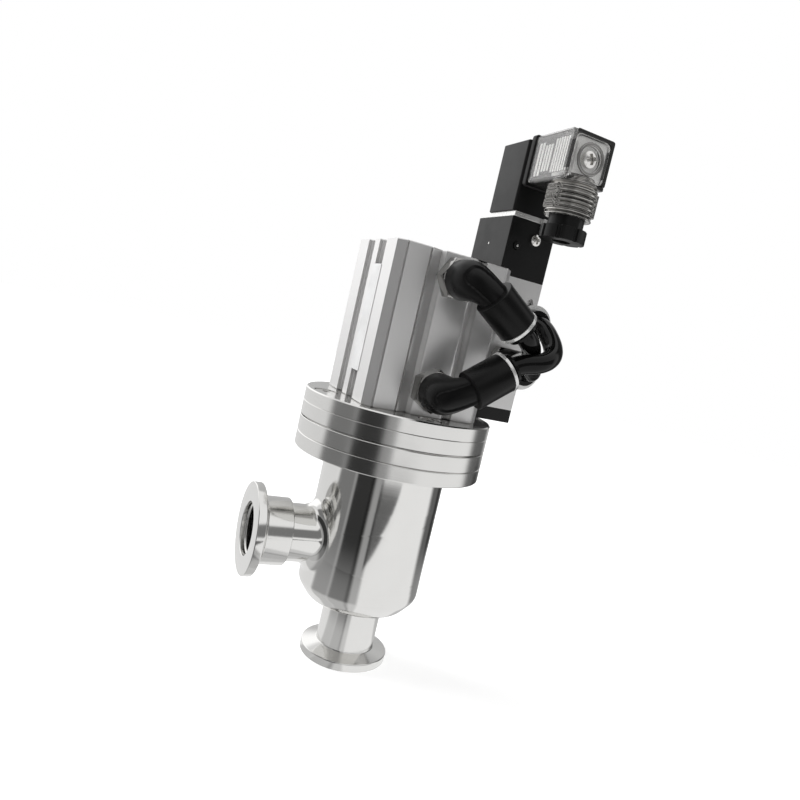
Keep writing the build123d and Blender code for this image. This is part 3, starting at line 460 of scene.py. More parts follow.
BRIGHT_STEEL = (0.80, 0.795, 0.78)
POLISHED = TurnedMetal("polished_tube", "steel", BRIGHT_STEEL, rough=(0.06, 0.13), depth=0.0008)
SIDE_POLISH = TurnedMetal(
    "polished_side_port", "steel", BRIGHT_STEEL, rough=(0.09, 0.17), axis=Axis.X,
    centre=(0.0, 0.0, 41.5), depth=0.002)
PORT_POLISH = TurnedMetal("polished_port", "steel", BRIGHT_STEEL, rough=(0.1, 0.19), depth=0.002)
TURNED_FLANGE = TurnedMetal(
    "turned_flange", "flange_steel", (0.78, 0.775, 0.76), rough=(0.14, 0.24), depth=0.003)
INNER_STEEL = TurnedMetal("turned_inner_steel", "steel", (0.74, 0.73, 0.71), rough=(0.2, 0.32))
MACHINED = TurnedMetal("machined_aluminium", "machined", (0.76, 0.76, 0.76), rough=(0.25, 0.36))
FASTENER = GrainedMetal("bright_fastener", "screw_steel", (0.78, 0.77, 0.75), rough=(0.16, 0.28), depth=0.002)
PLATED = GrainedMetal(
    "plated_sheet", "plate_steel", (0.86, 0.86, 0.85), rough=(0.2, 0.3), along=Axis.X, metallic=0.6,
    depth=0.0008)
SPRING = GrainedMetal("spring_wire", "spring_steel", (0.6, 0.6, 0.6), rough=(0.2, 0.3))
ANODISED = GrainedMetal("satin_anodised", "anodised", (0.78, 0.775, 0.77), rough=(0.3, 0.4), metallic=0.72)
NICKEL = GrainedMetal(
    "nickel_plate", "nickel", (0.36, 0.355, 0.345), rough=(0.1, 0.18), along=Axis.Y, depth=0.0015)
BLACK = MouldedPlastic(
    "matte_black_plastic", "black_plastic", (0.009, 0.009, 0.009), rough=(0.32, 0.42), shine=0.27)
FITTING = MouldedPlastic(
    "satin_black_fitting", "fitting_plastic", (0.007, 0.007, 0.007), rough=(0.26, 0.36), depth=0.002,
    shine=0.16)
COLLAR = MouldedPlastic(
    "gloss_black_collar", "fitting_plastic", (0.006, 0.006, 0.006), rough=(0.08, 0.16), depth=0.001)
HOSE = MouldedPlastic("gloss_black_hose", "hose", (0.005, 0.005, 0.005), rough=(0.07, 0.14), depth=0.001)
CLEAR = ClearPlastic("smoke_clear_plastic", "clear_plastic", (0.92, 0.915, 0.905))
# A darker, less clear copy of the clear plastic: painted shade for the plug's right, top and bottom walls
SHADED_CLEAR = ClearPlastic("shaded_clear_plastic", "clear_plastic", (0.06, 0.06, 0.058), transmission=0.25)
# Clear plastic in thick ribs looks like dull metal, so these two are drawn as half metallic
RING_GREY = GrainedMetal(
    "grey_ring_plastic", "clear_plastic", (0.36, 0.355, 0.345), rough=(0.1, 0.18), metallic=0.6, depth=0.002)
GLAND = TurnedMetal(
    "grey_gland_plastic", "clear_plastic", (0.5, 0.49, 0.47), rough=(0.08, 0.16), centre=(32.5, -22.3, 0.0),
    pitch=0.32, depth=0.01, metallic=0.65, tints=(0.08, 1.6), gain=4.5, share=0.8)
# The frosted ribs and insert emit painted light, though they are no lamp
FROST = MouldedPlastic(
    "frosted_rib_plastic", "clear_plastic", (0.86, 0.86, 0.85), rough=(0.3, 0.45), painted_glow=0.22)
GASKET = MouldedPlastic("grey_gasket", "gasket", (0.045, 0.045, 0.045), rough=(0.5, 0.62))
RUBBER = MouldedPlastic("black_rubber", "rubber", (0.02, 0.02, 0.02), rough=(0.5, 0.65))
LABEL = MouldedPlastic("blank_film_label", "label", (0.7, 0.7, 0.7), rough=(0.35, 0.45), depth=0.001)


# Mesh makers
def finish_mesh(piece: bpy.types.Object, sharp: float) -> None:
    """Merges doubles, points the faces outwards and shades smooth up to an angle.

    Args:
        piece: The piece, which is changed.
        sharp: The angle in degrees.
    """
    shape = bmesh.new()
    shape.from_mesh(piece.data)
    bmesh.ops.remove_doubles(shape, verts=shape.verts, dist=MERGE)
    bmesh.ops.dissolve_degenerate(shape, edges=shape.edges, dist=TINY)
    bmesh.ops.recalc_face_normals(shape, faces=shape.faces)
    shape.to_mesh(piece.data)
    shape.free()
    piece.data.shade_smooth()
    piece.data.set_sharp_from_angle(angle=radians(sharp))


def grid_faces(rows: int, columns: int, first: int) -> np.ndarray:
    """Quads of a grid whose columns close on themselves.

    Args:
        rows: Rows of the grid.
        columns: Columns of the grid.
        first: Index of the grid's first vertex.

    Returns:
        Four vertex indices for each quad.
    """
    index = np.arange(rows * columns).reshape(rows, columns) + first
    right = np.roll(index, -1, axis=1)
    return np.stack([index[:-1], right[:-1], right[1:], index[1:]], axis=-1).reshape(-1, 4)


def grid_mesh(name: str, grids: Sequence[np.ndarray]) -> bpy.types.Mesh:
    """Makes one mesh of grids of points.

    Args:
        name: Name of the mesh.
        grids: Arrays of rows by columns by three, in millimetres; the columns close on themselves.

    Returns:
        The mesh.
    """
    starts = np.cumsum([0] + [grid.shape[0] * grid.shape[1] for grid in grids])
    faces = np.concatenate([grid_faces(*grid.shape[:2], start) for grid, start in zip(grids, starts)])
    vertices = np.concatenate([grid.reshape(-1, 3) for grid in grids]) * MM
    mesh = bpy.data.meshes.new(name)
    mesh.from_pydata(vertices.tolist(), [], faces.tolist())
    return mesh


def skin(name: str, finish: Finish, *grids: np.ndarray, body: Body = Body.VALVE,
         sharp: float = SHARP) -> bpy.types.Object:
    """Makes one closed piece from grids of points that meet at their first and last rows.

    Args:
        name: Name of the piece.
        finish: The surface finish.
        grids: The grids, in millimetres.
        body: The body that the piece rides on.
        sharp: Angle in degrees over which an edge stays sharp.

    Returns:
        The piece.
    """
    return linked(name, finish, grid_mesh(name, grids), body, sharp)


def linked(name: str, finish: Finish, mesh: bpy.types.Mesh, body: Body, sharp: float) -> bpy.types.Object:
    """Makes a piece from a mesh, dresses it and lets it ride on its body.

    Args:
        name: Name of the piece.
        finish: The surface finish.
        mesh: Its mesh.
        body: The body that it rides on.
        sharp: Angle in degrees over which an edge stays sharp.

    Returns:
        The piece.
    """
    mesh.materials.append(finish.material())
    piece = bpy.data.objects.new(name, mesh)
    bpy.context.scene.collection.objects.link(piece)
    finish_mesh(piece, sharp)
    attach(piece, body.value)
    LOG.info("made %s", name)
    return piece


def looped(grid: np.ndarray) -> np.ndarray:
    """A grid whose last row meets its first, for a closed profile."""
    return np.concatenate([grid, grid[:1]])


def capped(grid: np.ndarray) -> np.ndarray:
    """A grid whose first and last rows are drawn together to their middles."""
    ends = [np.repeat(grid[i].mean(axis=0)[None, None], grid.shape[1], axis=1) for i in (0, -1)]
    return np.concatenate([ends[0], grid, ends[1]])


def ease(piece: bpy.types.Object, width: float) -> None:
    """Adds a small bevel to the sharp edges.

    Args:
        piece: The piece, which is changed.
        width: Width of the bevel in millimetres.
    """
    bevel = piece.modifiers.new("eased_edges", "BEVEL")
    bevel.width = width * MM
    bevel.segments = 2
    bevel.limit_method = "ANGLE"
    bevel.angle_limit = radians(SHARP)
    bevel.harden_normals = True
    bevel.use_clamp_overlap = True


def rounded(points: list[tuple[float, float]], radius: float, steps: int = 5) -> np.ndarray:
    """Closed outline whose corners are eased: each corner becomes a quadratic curve.

    The curve starts and ends at the radius from the corner, or at 0.45 of the shorter side.

    Args:
        points: Corners of the outline.
        radius: How far the curve reaches from each corner.
        steps: Points on each curve.

    Returns:
        The outline's points.
    """
    corner = np.array(points, float)
    back = np.roll(corner, 1, axis=0) - corner
    ahead = np.roll(corner, -1, axis=0) - corner
    back_length = np.linalg.norm(back, axis=1, keepdims=True)
    ahead_length = np.linalg.norm(ahead, axis=1, keepdims=True)
    cut = np.minimum(radius, 0.45 * np.minimum(back_length, ahead_length))
    start = (corner + back / back_length * cut)[:, None]
    end = (corner + ahead / ahead_length * cut)[:, None]
    t = np.linspace(0.0, 1.0, steps)[None, :, None]
    curve = (1 - t) ** 2 * start + 2 * t * (1 - t) * corner[:, None] + t ** 2 * end
    return curve.reshape(-1, 2)


def turned(profile: np.ndarray, segments: int = 160, axis: Axis = Axis.Z, centre: Point = (0.0, 0.0, 0.0),
           sign: float = 1.0) -> np.ndarray:
    """Grid of a profile of (radius, length) points carried round an axis.

    Each point is the centre plus its radius times (cos, sin) in the two other axes plus its length
    along the axis.

    Args:
        profile: Radius and length along the axis, one row each.
        segments: Points round the axis.
        axis: Direction of the axis.
        centre: Where the profile's length is zero.
        sign: 1 if the length runs along the axis, -1 if against it.

    Returns:
        Array of profile points by segments by three.
    """
    angle = np.linspace(0.0, 2 * pi, segments, endpoint=False)
    grid = np.empty((len(profile), segments, 3))
    first, second = [i for i in range(3) if i != axis.value]
    grid[..., first] = profile[:, :1] * np.cos(angle) + centre[first]
    grid[..., second] = profile[:, :1] * np.sin(angle) + centre[second]
    grid[..., axis.value] = sign * profile[:, 1:] + centre[axis.value]
    return grid


def inset(outline: np.ndarray, distance: float) -> np.ndarray:
    """A closed outline moved inwards with mitred corners.

    A point moves by the distance times the sum of its two sides' normals over one plus their product.

    Args:
        outline: The outline's points, walked with its inside on the left.
        distance: How far each side moves, in millimetres.

    Returns:
        The moved points.
    """
    ahead = np.roll(outline, -1, axis=0) - outline
    ahead = ahead / np.linalg.norm(ahead, axis=1, keepdims=True)
    normal = np.stack([-ahead[:, 1], ahead[:, 0]], axis=1)
    before = np.roll(normal, 1, axis=0)
    mitre = 1 + (normal * before).sum(axis=1, keepdims=True)
    return outline + distance * (normal + before) / mitre


def circle(x: float, y: float, radius: float, count: int = 96) -> np.ndarray:
    """Points of a circle."""
    angle = np.linspace(0.0, 2 * pi, count, endpoint=False)
    return np.stack([x + radius * np.cos(angle), y + radius * np.sin(angle)], axis=1)


def rim_place(edge: bmesh.types.BMEdge) -> int:
    """Place of a rim's edge in the walk round it: its first vertex, or its last where the walk closes."""
    low, high = sorted(vertex.index for vertex in edge.verts)
    return low if high - low == 1 else high


def extruded(name: str, finish: Finish, loops: list[np.ndarray], axis: Axis,
             steps: list[tuple[float, float]],
             hole_steps: list[tuple[float, float]] | None = None) -> bpy.types.Object:
    """An outline with holes carried straight along an axis, moved in or out at each step.

    Args:
        name: Name of the piece.
        finish: The surface finish.
        loops: The outline and then the holes, each walked with its own inside on the left.
        axis: Direction of the run.
        steps: Level and inset of the outline, from the first end to the last.
        hole_steps: Level and widening of the holes, if they differ from the outline's first and last.

    Returns:
        The piece.
    """
    across = [i for i in range(3) if i != axis.value]
    holes = [(level, -wide) for level, wide in hole_steps or (steps[0][:1] + (0.0,), steps[-1][:1] + (0.0,))]
    grids = []
    for number, loop in enumerate(loops):
        rows = holes if number else steps
        grid = np.empty((len(rows), len(loop), 3))
        grid[..., across] = np.stack([inset(loop, amount) for _, amount in rows])
        grid[..., axis.value] = np.array([level for level, _ in rows])[:, None]
        grids.append(grid)
    mesh = grid_mesh(name, grids)
    shape = bmesh.new()
    shape.from_mesh(mesh)
    for end in (steps[0][0] * MM, steps[-1][0] * MM):
        rims = [e for e in shape.edges if e.is_boundary and abs(e.verts[0].co[axis.value] - end) < TINY
                and abs(e.verts[1].co[axis.value] - end) < TINY]
        rims.sort(key=rim_place)
        bmesh.ops.triangle_fill(shape, use_beauty=True, edges=rims)
    shape.to_mesh(mesh)
    shape.free()
    return linked(name, finish, mesh, Body.VALVE, RUN_SHARP)


def eased_ends(low: float, high: float, edge: float) -> list[tuple[float, float]]:
    """Steps of a straight run whose two ends have a small chamfer."""
    return [(low, edge), (low + edge, 0.0), (high - edge, 0.0), (high, edge)]


def dress(finish: Finish, *nodes: str) -> None:
    """Gives CAD nodes a finish and leaves their shapes as they are.

    Args:
        finish: The surface finish.
        nodes: Names of the nodes.
    """
    for node in nodes:
        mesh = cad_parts[node].data
        mesh.materials.clear()
        mesh.materials.append(finish.material())
        LOG.info("dressed %s", node)


def eased(node: str, finish: Finish, width: float, body: Body = Body.VALVE,
          crisp: float = SHARP) -> bpy.types.Object:
    """A merged copy of a CAD node with its sharp edges eased, which stands for the node.

    Args:
        node: The CAD node.
        finish: The surface finish.
        width: Width of the eased edges in millimetres.
        body: The body that the node is on.
        crisp: Angle in degrees over which an edge shows; low on blocks, so that their faces stay flat.

    Returns:
        The piece.
    """
    piece = bpy.data.objects.new(f"{node}_eased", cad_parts[node].data.copy())
    bpy.context.scene.collection.objects.link(piece)
    piece.data.materials.clear()
    piece.data.materials.append(finish.material())
    shape = bmesh.new()
    shape.from_mesh(piece.data)
    bmesh.ops.remove_doubles(shape, verts=shape.verts, dist=CAD_MERGE)
    bmesh.ops.dissolve_limit(shape, angle_limit=radians(FLAT), verts=shape.verts, edges=shape.edges)
    shape.to_mesh(piece.data)
    shape.free()
    piece.data.shade_smooth()
    piece.data.set_sharp_from_angle(angle=radians(crisp))
    ease(piece, width)
    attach(piece, body.value)
    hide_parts(node)
    LOG.info("eased %s", node)
    return piece


# Sub-assemblies
@dataclass(frozen=True)
class CrossScrew:
    """Screw with a domed head and a cross recess, as one closed grid.

    Args:
        name: Name of the piece.
        node: The CAD node that it stands for.
        centre: Middle of the face that the head sits on.
        axis: Direction of the screw.
        sign: 1 if the head looks along the axis, -1 if against it.
        head_r: Radius of the head.
        head_h: Height of the head.
        shank_r: Radius of the shank.
        length: Length of the shank.
        rim: Share of the head's height that is straight.
        rings: Rows of the dome.
        pole: Radius of its last row, as a share of the head's radius.
        columns: Points round the screw.
        sharp: Angle in degrees over which an edge stays sharp.
        turn: Angle of the cross in degrees.
        bar_reach: Half the length of the cross's bars, as a share of the head's radius.
        bar_half: Half their width, as such a share.
        bar_soft: Width of their slope, as such a share.
        sink: Depth of the cross, as a share of the head's height.
    """

    name: str
    node: str
    centre: Point
    axis: Axis
    sign: float
    head_r: float
    head_h: float
    shank_r: float
    length: float
    rim: float = 0.62
    rings: int = 44
    pole: float = 0.01
    columns: int = 144
    sharp: float = 40.0
    turn: float = 20.0
    bar_reach: float = 0.6
    bar_half: float = 0.17
    bar_soft: float = 0.08
    sink: float = 0.55

    def grid(self) -> np.ndarray:
        """Rows from the shank's end to the head's middle.

        The dome falls with the square of the radius. The cross is two crossed bars, and a point sinks
        by the recess's depth as its distance inside the nearer bar grows.

        Returns:
            The grid, closed at both ends.
        """
        rim = self.rim * self.head_h
        base = np.array([(self.shank_r, -self.length), (self.shank_r, 0.0), (self.head_r, 0.0)])
        out = np.linspace(1.0, self.pole, self.rings)
        dome = np.stack([self.head_r * out, rim + (self.head_h - rim) * (1 - out ** 2)], axis=1)
        grid = turned(np.concatenate([base, dome]), self.columns, self.axis, self.centre, self.sign)
        a = radians(self.turn)
        first, second = [i for i in range(3) if i != self.axis.value]
        s = grid[..., first] - self.centre[first]
        t = grid[..., second] - self.centre[second]
        u, v = abs(s * cos(a) + t * sin(a)), abs(t * cos(a) - s * sin(a))
        long, half = self.bar_reach * self.head_r, self.bar_half * self.head_r
        bars = np.minimum(np.maximum(u - long, v - half), np.maximum(u - half, v - long))
        sunk = np.clip(0.5 - bars / (self.bar_soft * self.head_r), 0.0, 1.0)
        sunk[:len(base) + 1] = 0.0
        grid[..., self.axis.value] -= self.sign * self.sink * self.head_h * sunk
        return capped(grid)

    def build(self) -> None:
        """Builds the screw."""
        piece = skin(self.name, FASTENER, self.grid(), sharp=self.sharp)
        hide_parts(self.node)


@dataclass
class Chamber:
    """Polished chamber: tube with its side outlet, and the two small-flange ports.

    Args:
        saddle: Radius of the hollow between the side neck and the tube.
        band_low: Lower edge of the band of wall that the side neck leaves from.
        band_high: Upper edge of that band.
        knee: Reach of the floor's round corners.
        knee_steps: Points on each of them.
        fan: How the columns spread round the neck: the angle on the wall that goes with a level of 1.
    """

    flange_r: float = 15.0
    rim: float = 2.8
    taper: float = 1.4
    bore_r: float = 8.0
    recess_r: float = 8.6
    recess: float = 1.8
    neck_r: float = 10.0
    seat_z: float = 27.5
    seat_lip: float = 0.6
    seat_relief: float = 1.5
    side_x: float = -42.0
    side_z: float = 41.5
    side_neck_r: float = 9.5
    collar_r: float = 11.0
    collar_l: float = 12.5
    socket: float = 4.0
    edge: float = 0.35
    tube_r: float = 20.75
    wall: float = 2.0
    floor_z: float = 20.0
    floor_t: float = 2.5
    floor_in: float = 4.0
    floor_up: float = 5.0
    top_z: float = 70.0
    saddle: float = 4.0
    band_low: float = 29.0
    band_high: float = 57.0
    columns: int = 192
    seam_rows: int = 30
    band_rows: int = 22
    neck_rows: int = 8
    arc_rows: int = 14
    knee: float = 1.6
    knee_steps: int = 7
    fan: float = 1.2

    def build(self) -> None:
        """Builds the chamber's pieces."""
        self.bottom_port()
        self.side_port()
        self.tube()

    def bottom_port(self) -> None:
        """Bottom flange and neck turned about Z, from one closed profile."""
        profile = rounded([
            (self.recess_r, 0.0), (self.flange_r, 0.0), (self.flange_r, self.rim),
            (self.neck_r, self.rim + self.taper), (self.neck_r, self.seat_z - self.seat_lip),
            (self.neck_r - self.seat_lip, self.seat_z), (self.recess_r, self.seat_z),
            (self.recess_r, self.seat_z - self.seat_relief), (self.bore_r, self.seat_z - self.seat_relief),
            (self.bore_r, self.recess), (self.recess_r, self.recess)], self.edge)
        piece = skin("bottom_port", PORT_POLISH, looped(turned(profile)))
        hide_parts("bottom_port_flange")

    def side_port(self) -> None:
        """Side flange and collar turned about X, from one closed profile."""
        profile = rounded([
            (self.recess_r, 0.0), (self.flange_r, 0.0), (self.flange_r, self.rim),
            (self.collar_r, self.rim + self.taper), (self.collar_r, self.collar_l),
            (self.side_neck_r, self.collar_l), (self.side_neck_r, self.socket), (self.bore_r, self.socket),
            (self.bore_r, self.recess), (self.recess_r, self.recess)], self.edge)
        grid = turned(profile, axis=Axis.X, centre=(self.side_x, 0.0, self.side_z))
        piece = skin("side_port", SIDE_POLISH, looped(grid))
        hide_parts("side_port_flange")

    def band_edge(self) -> tuple[np.ndarray, np.ndarray]:
        """Angle and level of the points round the band of wall that the side neck leaves from.

        The walk goes along the top edge, down the seam at the back, along the bottom edge and up
        the seam again.

        Returns:
            The angles, and the levels, which are 1 at the top edge and -1 at the bottom edge.
        """
        ring = np.linspace(-pi, pi, self.columns + 1)
        down = np.linspace(1.0, -1.0, self.seam_rows + 1)[1:-1]
        angle = np.concatenate([ring, np.full(len(down), pi), ring[::-1], np.full(len(down), -pi)])
        level = np.concatenate([np.ones(len(ring)), down, -np.ones(len(ring)), down[::-1]])
        return angle, level

    def on_wall(self, radius: float, angle: np.ndarray, height: np.ndarray) -> np.ndarray:
        """Points on a cylinder about Z; the angle is zero towards the side port and grows towards -Y."""
        return np.stack([-radius * np.cos(angle), -radius * np.sin(angle), height], axis=-1)

    def around_neck(self, out: np.ndarray, radius: float, turn: np.ndarray) -> np.ndarray:
        """Points round the side neck's axis at a distance out from the main axis."""
        return np.stack([-out, -radius * np.cos(turn), self.side_z + radius * np.sin(turn)], axis=-1)

    def neck_skin(self) -> np.ndarray:
        """Inner band, bore, end face, neck, saddle and outer band as one grid of closed rows.

        The saddle is a ball of the saddle's radius rolled round the corner of neck and tube: its
        centre keeps that distance from both, and each column is the arc between its two contacts.
        A band's rows run in a straight line, on the unrolled wall, from the neck to the band's edge.

        Returns:
            The grid, from the inner band's edge to the outer band's.
        """
        angle, level = self.band_edge()
        turn = np.arctan2(level, angle / self.fan)
        inner_r = self.tube_r - self.wall
        middle = (self.band_low + self.band_high) / 2
        half = (self.band_high - self.band_low) / 2
        edge_z = middle + level * half
        end = np.full(len(angle), -self.side_x - self.socket)
        step = np.linspace(0.0, 1.0, self.band_rows)[:, None]
        along = np.linspace(0.0, 1.0, self.neck_rows)[:, None]
        turns = turn[None].repeat(self.neck_rows, 0)
        bore_t = self.bore_r * np.cos(turn)
        bore_out = np.sqrt(inner_r ** 2 - bore_t ** 2)
        bore_angle = np.arctan2(bore_t, bore_out)
        bore_z = self.side_z + self.bore_r * np.sin(turn)
        inner_band = self.on_wall(
            inner_r, angle + (bore_angle - angle) * step, edge_z + (bore_z - edge_z) * step)
        bore = self.around_neck(bore_out + (end - bore_out) * along, self.bore_r, turns)
        ball = self.side_neck_r + self.saddle
        reach = self.tube_r + self.saddle
        ball_t = ball * np.cos(turn)
        ball_out = np.sqrt(reach ** 2 - ball_t ** 2)
        neck = self.around_neck(end + (ball_out - end) * along, self.side_neck_r, turns)
        centre = self.around_neck(ball_out, ball, turn)
        to_neck = np.stack([0 * turn, np.cos(turn), -np.sin(turn)], axis=-1)
        to_tube = np.stack([ball_out, ball_t, 0 * turn], axis=-1) / reach
        opening = np.arccos((to_neck * to_tube).sum(axis=-1))[:, None]
        part = np.linspace(0.0, 1.0, self.arc_rows)[:, None, None]
        arc = centre + self.saddle * (
            np.sin((1 - part) * opening) * to_neck + np.sin(part * opening) * to_tube) / np.sin(opening)
        foot_angle = np.arctan2(ball_t, ball_out)
        foot_z = self.side_z + ball * np.sin(turn)
        outer_band = self.on_wall(
            self.tube_r, foot_angle + (angle - foot_angle) * step, foot_z + (edge_z - foot_z) * step)
        return np.concatenate([inner_band, bore, neck, arc, outer_band])

    def wall_ring(self, profile: list[tuple[float, float]]) -> np.ndarray:
        """A profile carried round the main axis, with columns that meet the band's edge.

        Args:
            profile: Radius and height of each point.

        Returns:
            Array of profile points by columns by three.
        """
        angle = np.linspace(-pi, pi, self.columns, endpoint=False)
        points = np.array(profile)
        return np.stack([
            -points[:, :1] * np.cos(angle), -points[:, :1] * np.sin(angle),
            np.broadcast_to(points[:, 1:], (len(points), self.columns))], axis=-1)

    def tube(self) -> None:
        """The chamber tube: the neck's grid, the ring above it and the chamfered floor below it."""
        inner_r = self.tube_r - self.wall
        inner_z = self.floor_z + self.floor_t
        above = [(inner_r, self.band_high), (inner_r, self.top_z), (self.tube_r, self.top_z),
                 (self.tube_r, self.top_z - self.edge), (self.tube_r, self.band_high)]
        steps = self.knee_steps
        corners = rounded([
            (self.tube_r, self.band_low), (self.tube_r, self.floor_z + self.floor_up),
            (self.tube_r - self.floor_in, self.floor_z), (self.neck_r, self.floor_z)], self.knee, steps)
        slope = [tuple(point) for point in corners[steps:3 * steps]]
        below = [(self.tube_r, self.band_low), *slope, (self.neck_r, self.floor_z),
                 (self.neck_r, inner_z), (inner_r - self.floor_in, inner_z),
                 (inner_r, inner_z + self.floor_up), (inner_r, self.band_low)]
        piece = skin("chamber_tube", POLISHED, self.neck_skin(), self.wall_ring(above), self.wall_ring(below))
        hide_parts("body_tube")


@dataclass
class FlangeStack:
    """Bolted rings between the chamber and the air cylinder."""

    radius: float = 31.5
    bellows_z: float = 75.0
    bonnet_z: float = 80.0
    plate_z: float = 85.0
    top_z: float = 89.5
    bellows_bore: float = 9.0
    rod_bore: float = 5.05
    screw_at: float = 26.0
    screw_r: float = 2.15
    head_r: float = 3.8
    corner_at: float = 14.0
    corner_r: float = 2.5
    gap: float = 0.42
    gap_deep: float = 1.6
    seam: float = 0.16
    rim: float = 0.4
    edge: float = 0.12

    def ring(self, node: str, bore: float, holes: list[np.ndarray], steps: list[tuple[float, float]]) -> None:
        """Builds one ring.

        Args:
            node: The CAD node that it stands for.
            bore: Radius of its bore.
            holes: Outlines of its holes.
            steps: Level and inset of its rim, from below.
        """
        loops = [circle(0.0, 0.0, self.radius, count=240), circle(0.0, 0.0, bore), *holes]
        piece = extruded(f"{node}_ring", TURNED_FLANGE, loops, Axis.Z, steps)
        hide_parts(node)

    def around(self, radius: float) -> list[np.ndarray]:
        """Circles of one radius where the flange screws are."""
        at = self.screw_at
        return [circle(x, y, radius, count=40) for x, y in ((at, 0.0), (0.0, at), (-at, 0.0), (0.0, -at))]

    def build(self) -> None:
        """Builds the rings, screws and seal."""
        seam, rim = self.seam, self.rim
        eased("body_flange", TURNED_FLANGE, self.edge)
        self.ring("bellows_flange", self.bellows_bore, self.around(self.screw_r), [
            (self.bellows_z, seam), (self.bellows_z + seam, 0.0), (self.bonnet_z - seam, 0.0),
            (self.bonnet_z, seam)])
        self.ring("bonnet_flange", self.rod_bore, self.around(self.screw_r), [
            (self.bonnet_z, self.gap_deep), (self.bonnet_z + self.gap, self.gap_deep),
            (self.bonnet_z + self.gap, seam), (self.bonnet_z + self.gap + seam, 0.0),
            (self.plate_z - seam, 0.0), (self.plate_z, seam)])
        corners = [circle(x, y, self.corner_r, count=32) for x in (-self.corner_at, self.corner_at)
                   for y in (-self.corner_at, self.corner_at)]
        self.ring("actuator_plate", self.rod_bore, self.around(self.head_r) + corners, [
            (self.plate_z, seam), (self.plate_z + seam, 0.0), (self.top_z - rim, 0.0), (self.top_z, rim)])
        eased("flange_screws", FASTENER, self.edge)
        dress(RUBBER, "body_seal")


@dataclass
class Mechanism:
    """Disc, stem and piston, which move together inside, and the bellows, which is rigid and fixed here."""

    def build(self) -> None:
        """Dresses the inner pieces."""
        dress(INNER_STEEL, "valve_disc", "valve_stem", "bellows", "piston_rod")
        dress(MACHINED, "piston", "rod_cover")
        dress(RUBBER, "disc_seal", "piston_seal", "rod_seal")
        dress(FASTENER, "disc_screw")


@dataclass
class AirCylinder:
    """Square air cylinder with its covers, screws and blank label.

    Args:
        groove: Half width and depth of a sensor groove's mouth, and of its inside.
        crease: Half width of the small grooves along the corners of the extrusion.
        crease_deep: Their depth, in half widths.
        valley: Where the fall on the left of the boss starts and where it ends.
        valley_y: Level of its end.
        boss_foot: Where the boss on the front starts and ends, at the level boss_y.
        boss_face: Where its face starts and ends.
        boss_edge: Reach of its round edges, with boss_steps points on each.
        ramp_end: Where the rise on the right of the boss ends.
    """

    low: float = 89.5
    high: float = 140.5
    half: float = 20.0
    chamfer: float = 2.6
    front: float = -21.0
    bore_r: float = 12.5
    screw_at: float = 14.0
    screw_r: float = 4.4
    groove_at: float = 5.3
    groove: tuple[float, ...] = (3.1, 0.9, 2.1, 3.2)
    crease: float = 0.36
    crease_deep: float = 2.2
    valley: tuple[float, float] = (-9.5, -6.6)
    valley_y: float = -18.6
    boss_foot: tuple[float, float] = (-5.4, 8.5)
    boss_face: tuple[float, float] = (-5.0, 5.8)
    boss_y: float = -18.2
    ramp_end: float = 9.5
    boss_edge: float = 0.55
    boss_steps: int = 5
    label_edge: float = 0.05
    edge: float = 0.3
    fine_edge: float = 0.12

    def grooved(self, side: float) -> list[tuple[float, float]]:
        """One face's two sensor grooves.

        Args:
            side: How far each groove's middle is from the face's middle.

        Returns:
            Place along the face and depth of each point, walked from the first groove to the second.
        """
        wide, step, narrow, deep = self.groove
        shape = [(-wide, 0.0), (-wide, step), (-narrow, step), (-narrow, deep), (narrow, deep),
                 (narrow, step), (wide, step), (wide, 0.0)]
        return [(along + centre, depth) for centre in (-side, side) for along, depth in shape]

    def creased(self, point: tuple[float, float], before: tuple[float, float],
                after: tuple[float, float]) -> list[tuple[float, float]]:
        """A small groove along a corner of the extrusion: back a little, in, and on a little.

        Args:
            point: The corner.
            before: The outline's point before it.
            after: The outline's point after it.

        Returns:
            The three points that take the corner's place.
        """
        corner = np.array(point)
        back = np.array(before) - corner
        on = np.array(after) - corner
        back = back / np.linalg.norm(back)
        on = on / np.linalg.norm(on)
        inward = -corner / np.linalg.norm(corner)
        width = self.crease
        deep = self.crease_deep * width
        return [tuple(corner + width * back), tuple(corner + deep * inward), tuple(corner + width * on)]

    def outline(self) -> np.ndarray:
        """Outline of the extrusion.

        Returns:
            Its points, walked with the inside on the left.
        """
        near = self.half - self.chamfer
        steps = self.boss_steps
        foot, foot_end = [(x, self.boss_y) for x in self.boss_foot]
        face = [(x, self.front) for x in self.boss_face]
        corners = rounded([foot, *face, foot_end], self.boss_edge, steps)
        boss = [tuple(point) for point in corners[steps:3 * steps]]
        front = [(-self.half, -near), (-near, -self.half), (self.valley[0], -self.half),
                 (self.valley[1], self.valley_y), foot, *boss, foot_end, (self.ramp_end, -self.half),
                 (near, -self.half), (self.half, -near)]
        points: list[tuple[float, float]] = [front[0]]
        for number in range(1, len(front) - 1):
            if number in (1, 2, len(front) - 3, len(front) - 2):
                points += self.creased(front[number], front[number - 1], front[number + 1])
            else:
                points.append(front[number])
        points.append(front[-1])
        points += [(self.half - depth, along) for along, depth in self.grooved(self.groove_at)]
        points += [(self.half, near), (near, self.half)]
        points += [(-along, self.half - depth) for along, depth in self.grooved(self.groove_at)]
        points += [(-near, self.half), (-self.half, near)]
        points += [(-self.half + depth, -along) for along, depth in self.grooved(self.groove_at)]
        return np.array(points)

    def build(self) -> None:
        """Builds the cylinder's pieces."""
        at = self.screw_at
        holes = [circle(0.0, 0.0, self.bore_r)]
        holes += [circle(x, y, self.screw_r, count=48) for x in (-at, at) for y in (-at, at)]
        ends = eased_ends(self.low, self.high, self.edge)
        piece = extruded("cylinder_extrusion", ANODISED, [self.outline(), *holes], Axis.Z, ends, ends)
        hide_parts("cylinder_body")
        eased("head_cover", MACHINED, self.fine_edge)
        eased("cylinder_screws", FASTENER, self.fine_edge)
        dress(FASTENER, "snap_rings")
        eased("rating_label", LABEL, self.label_edge)


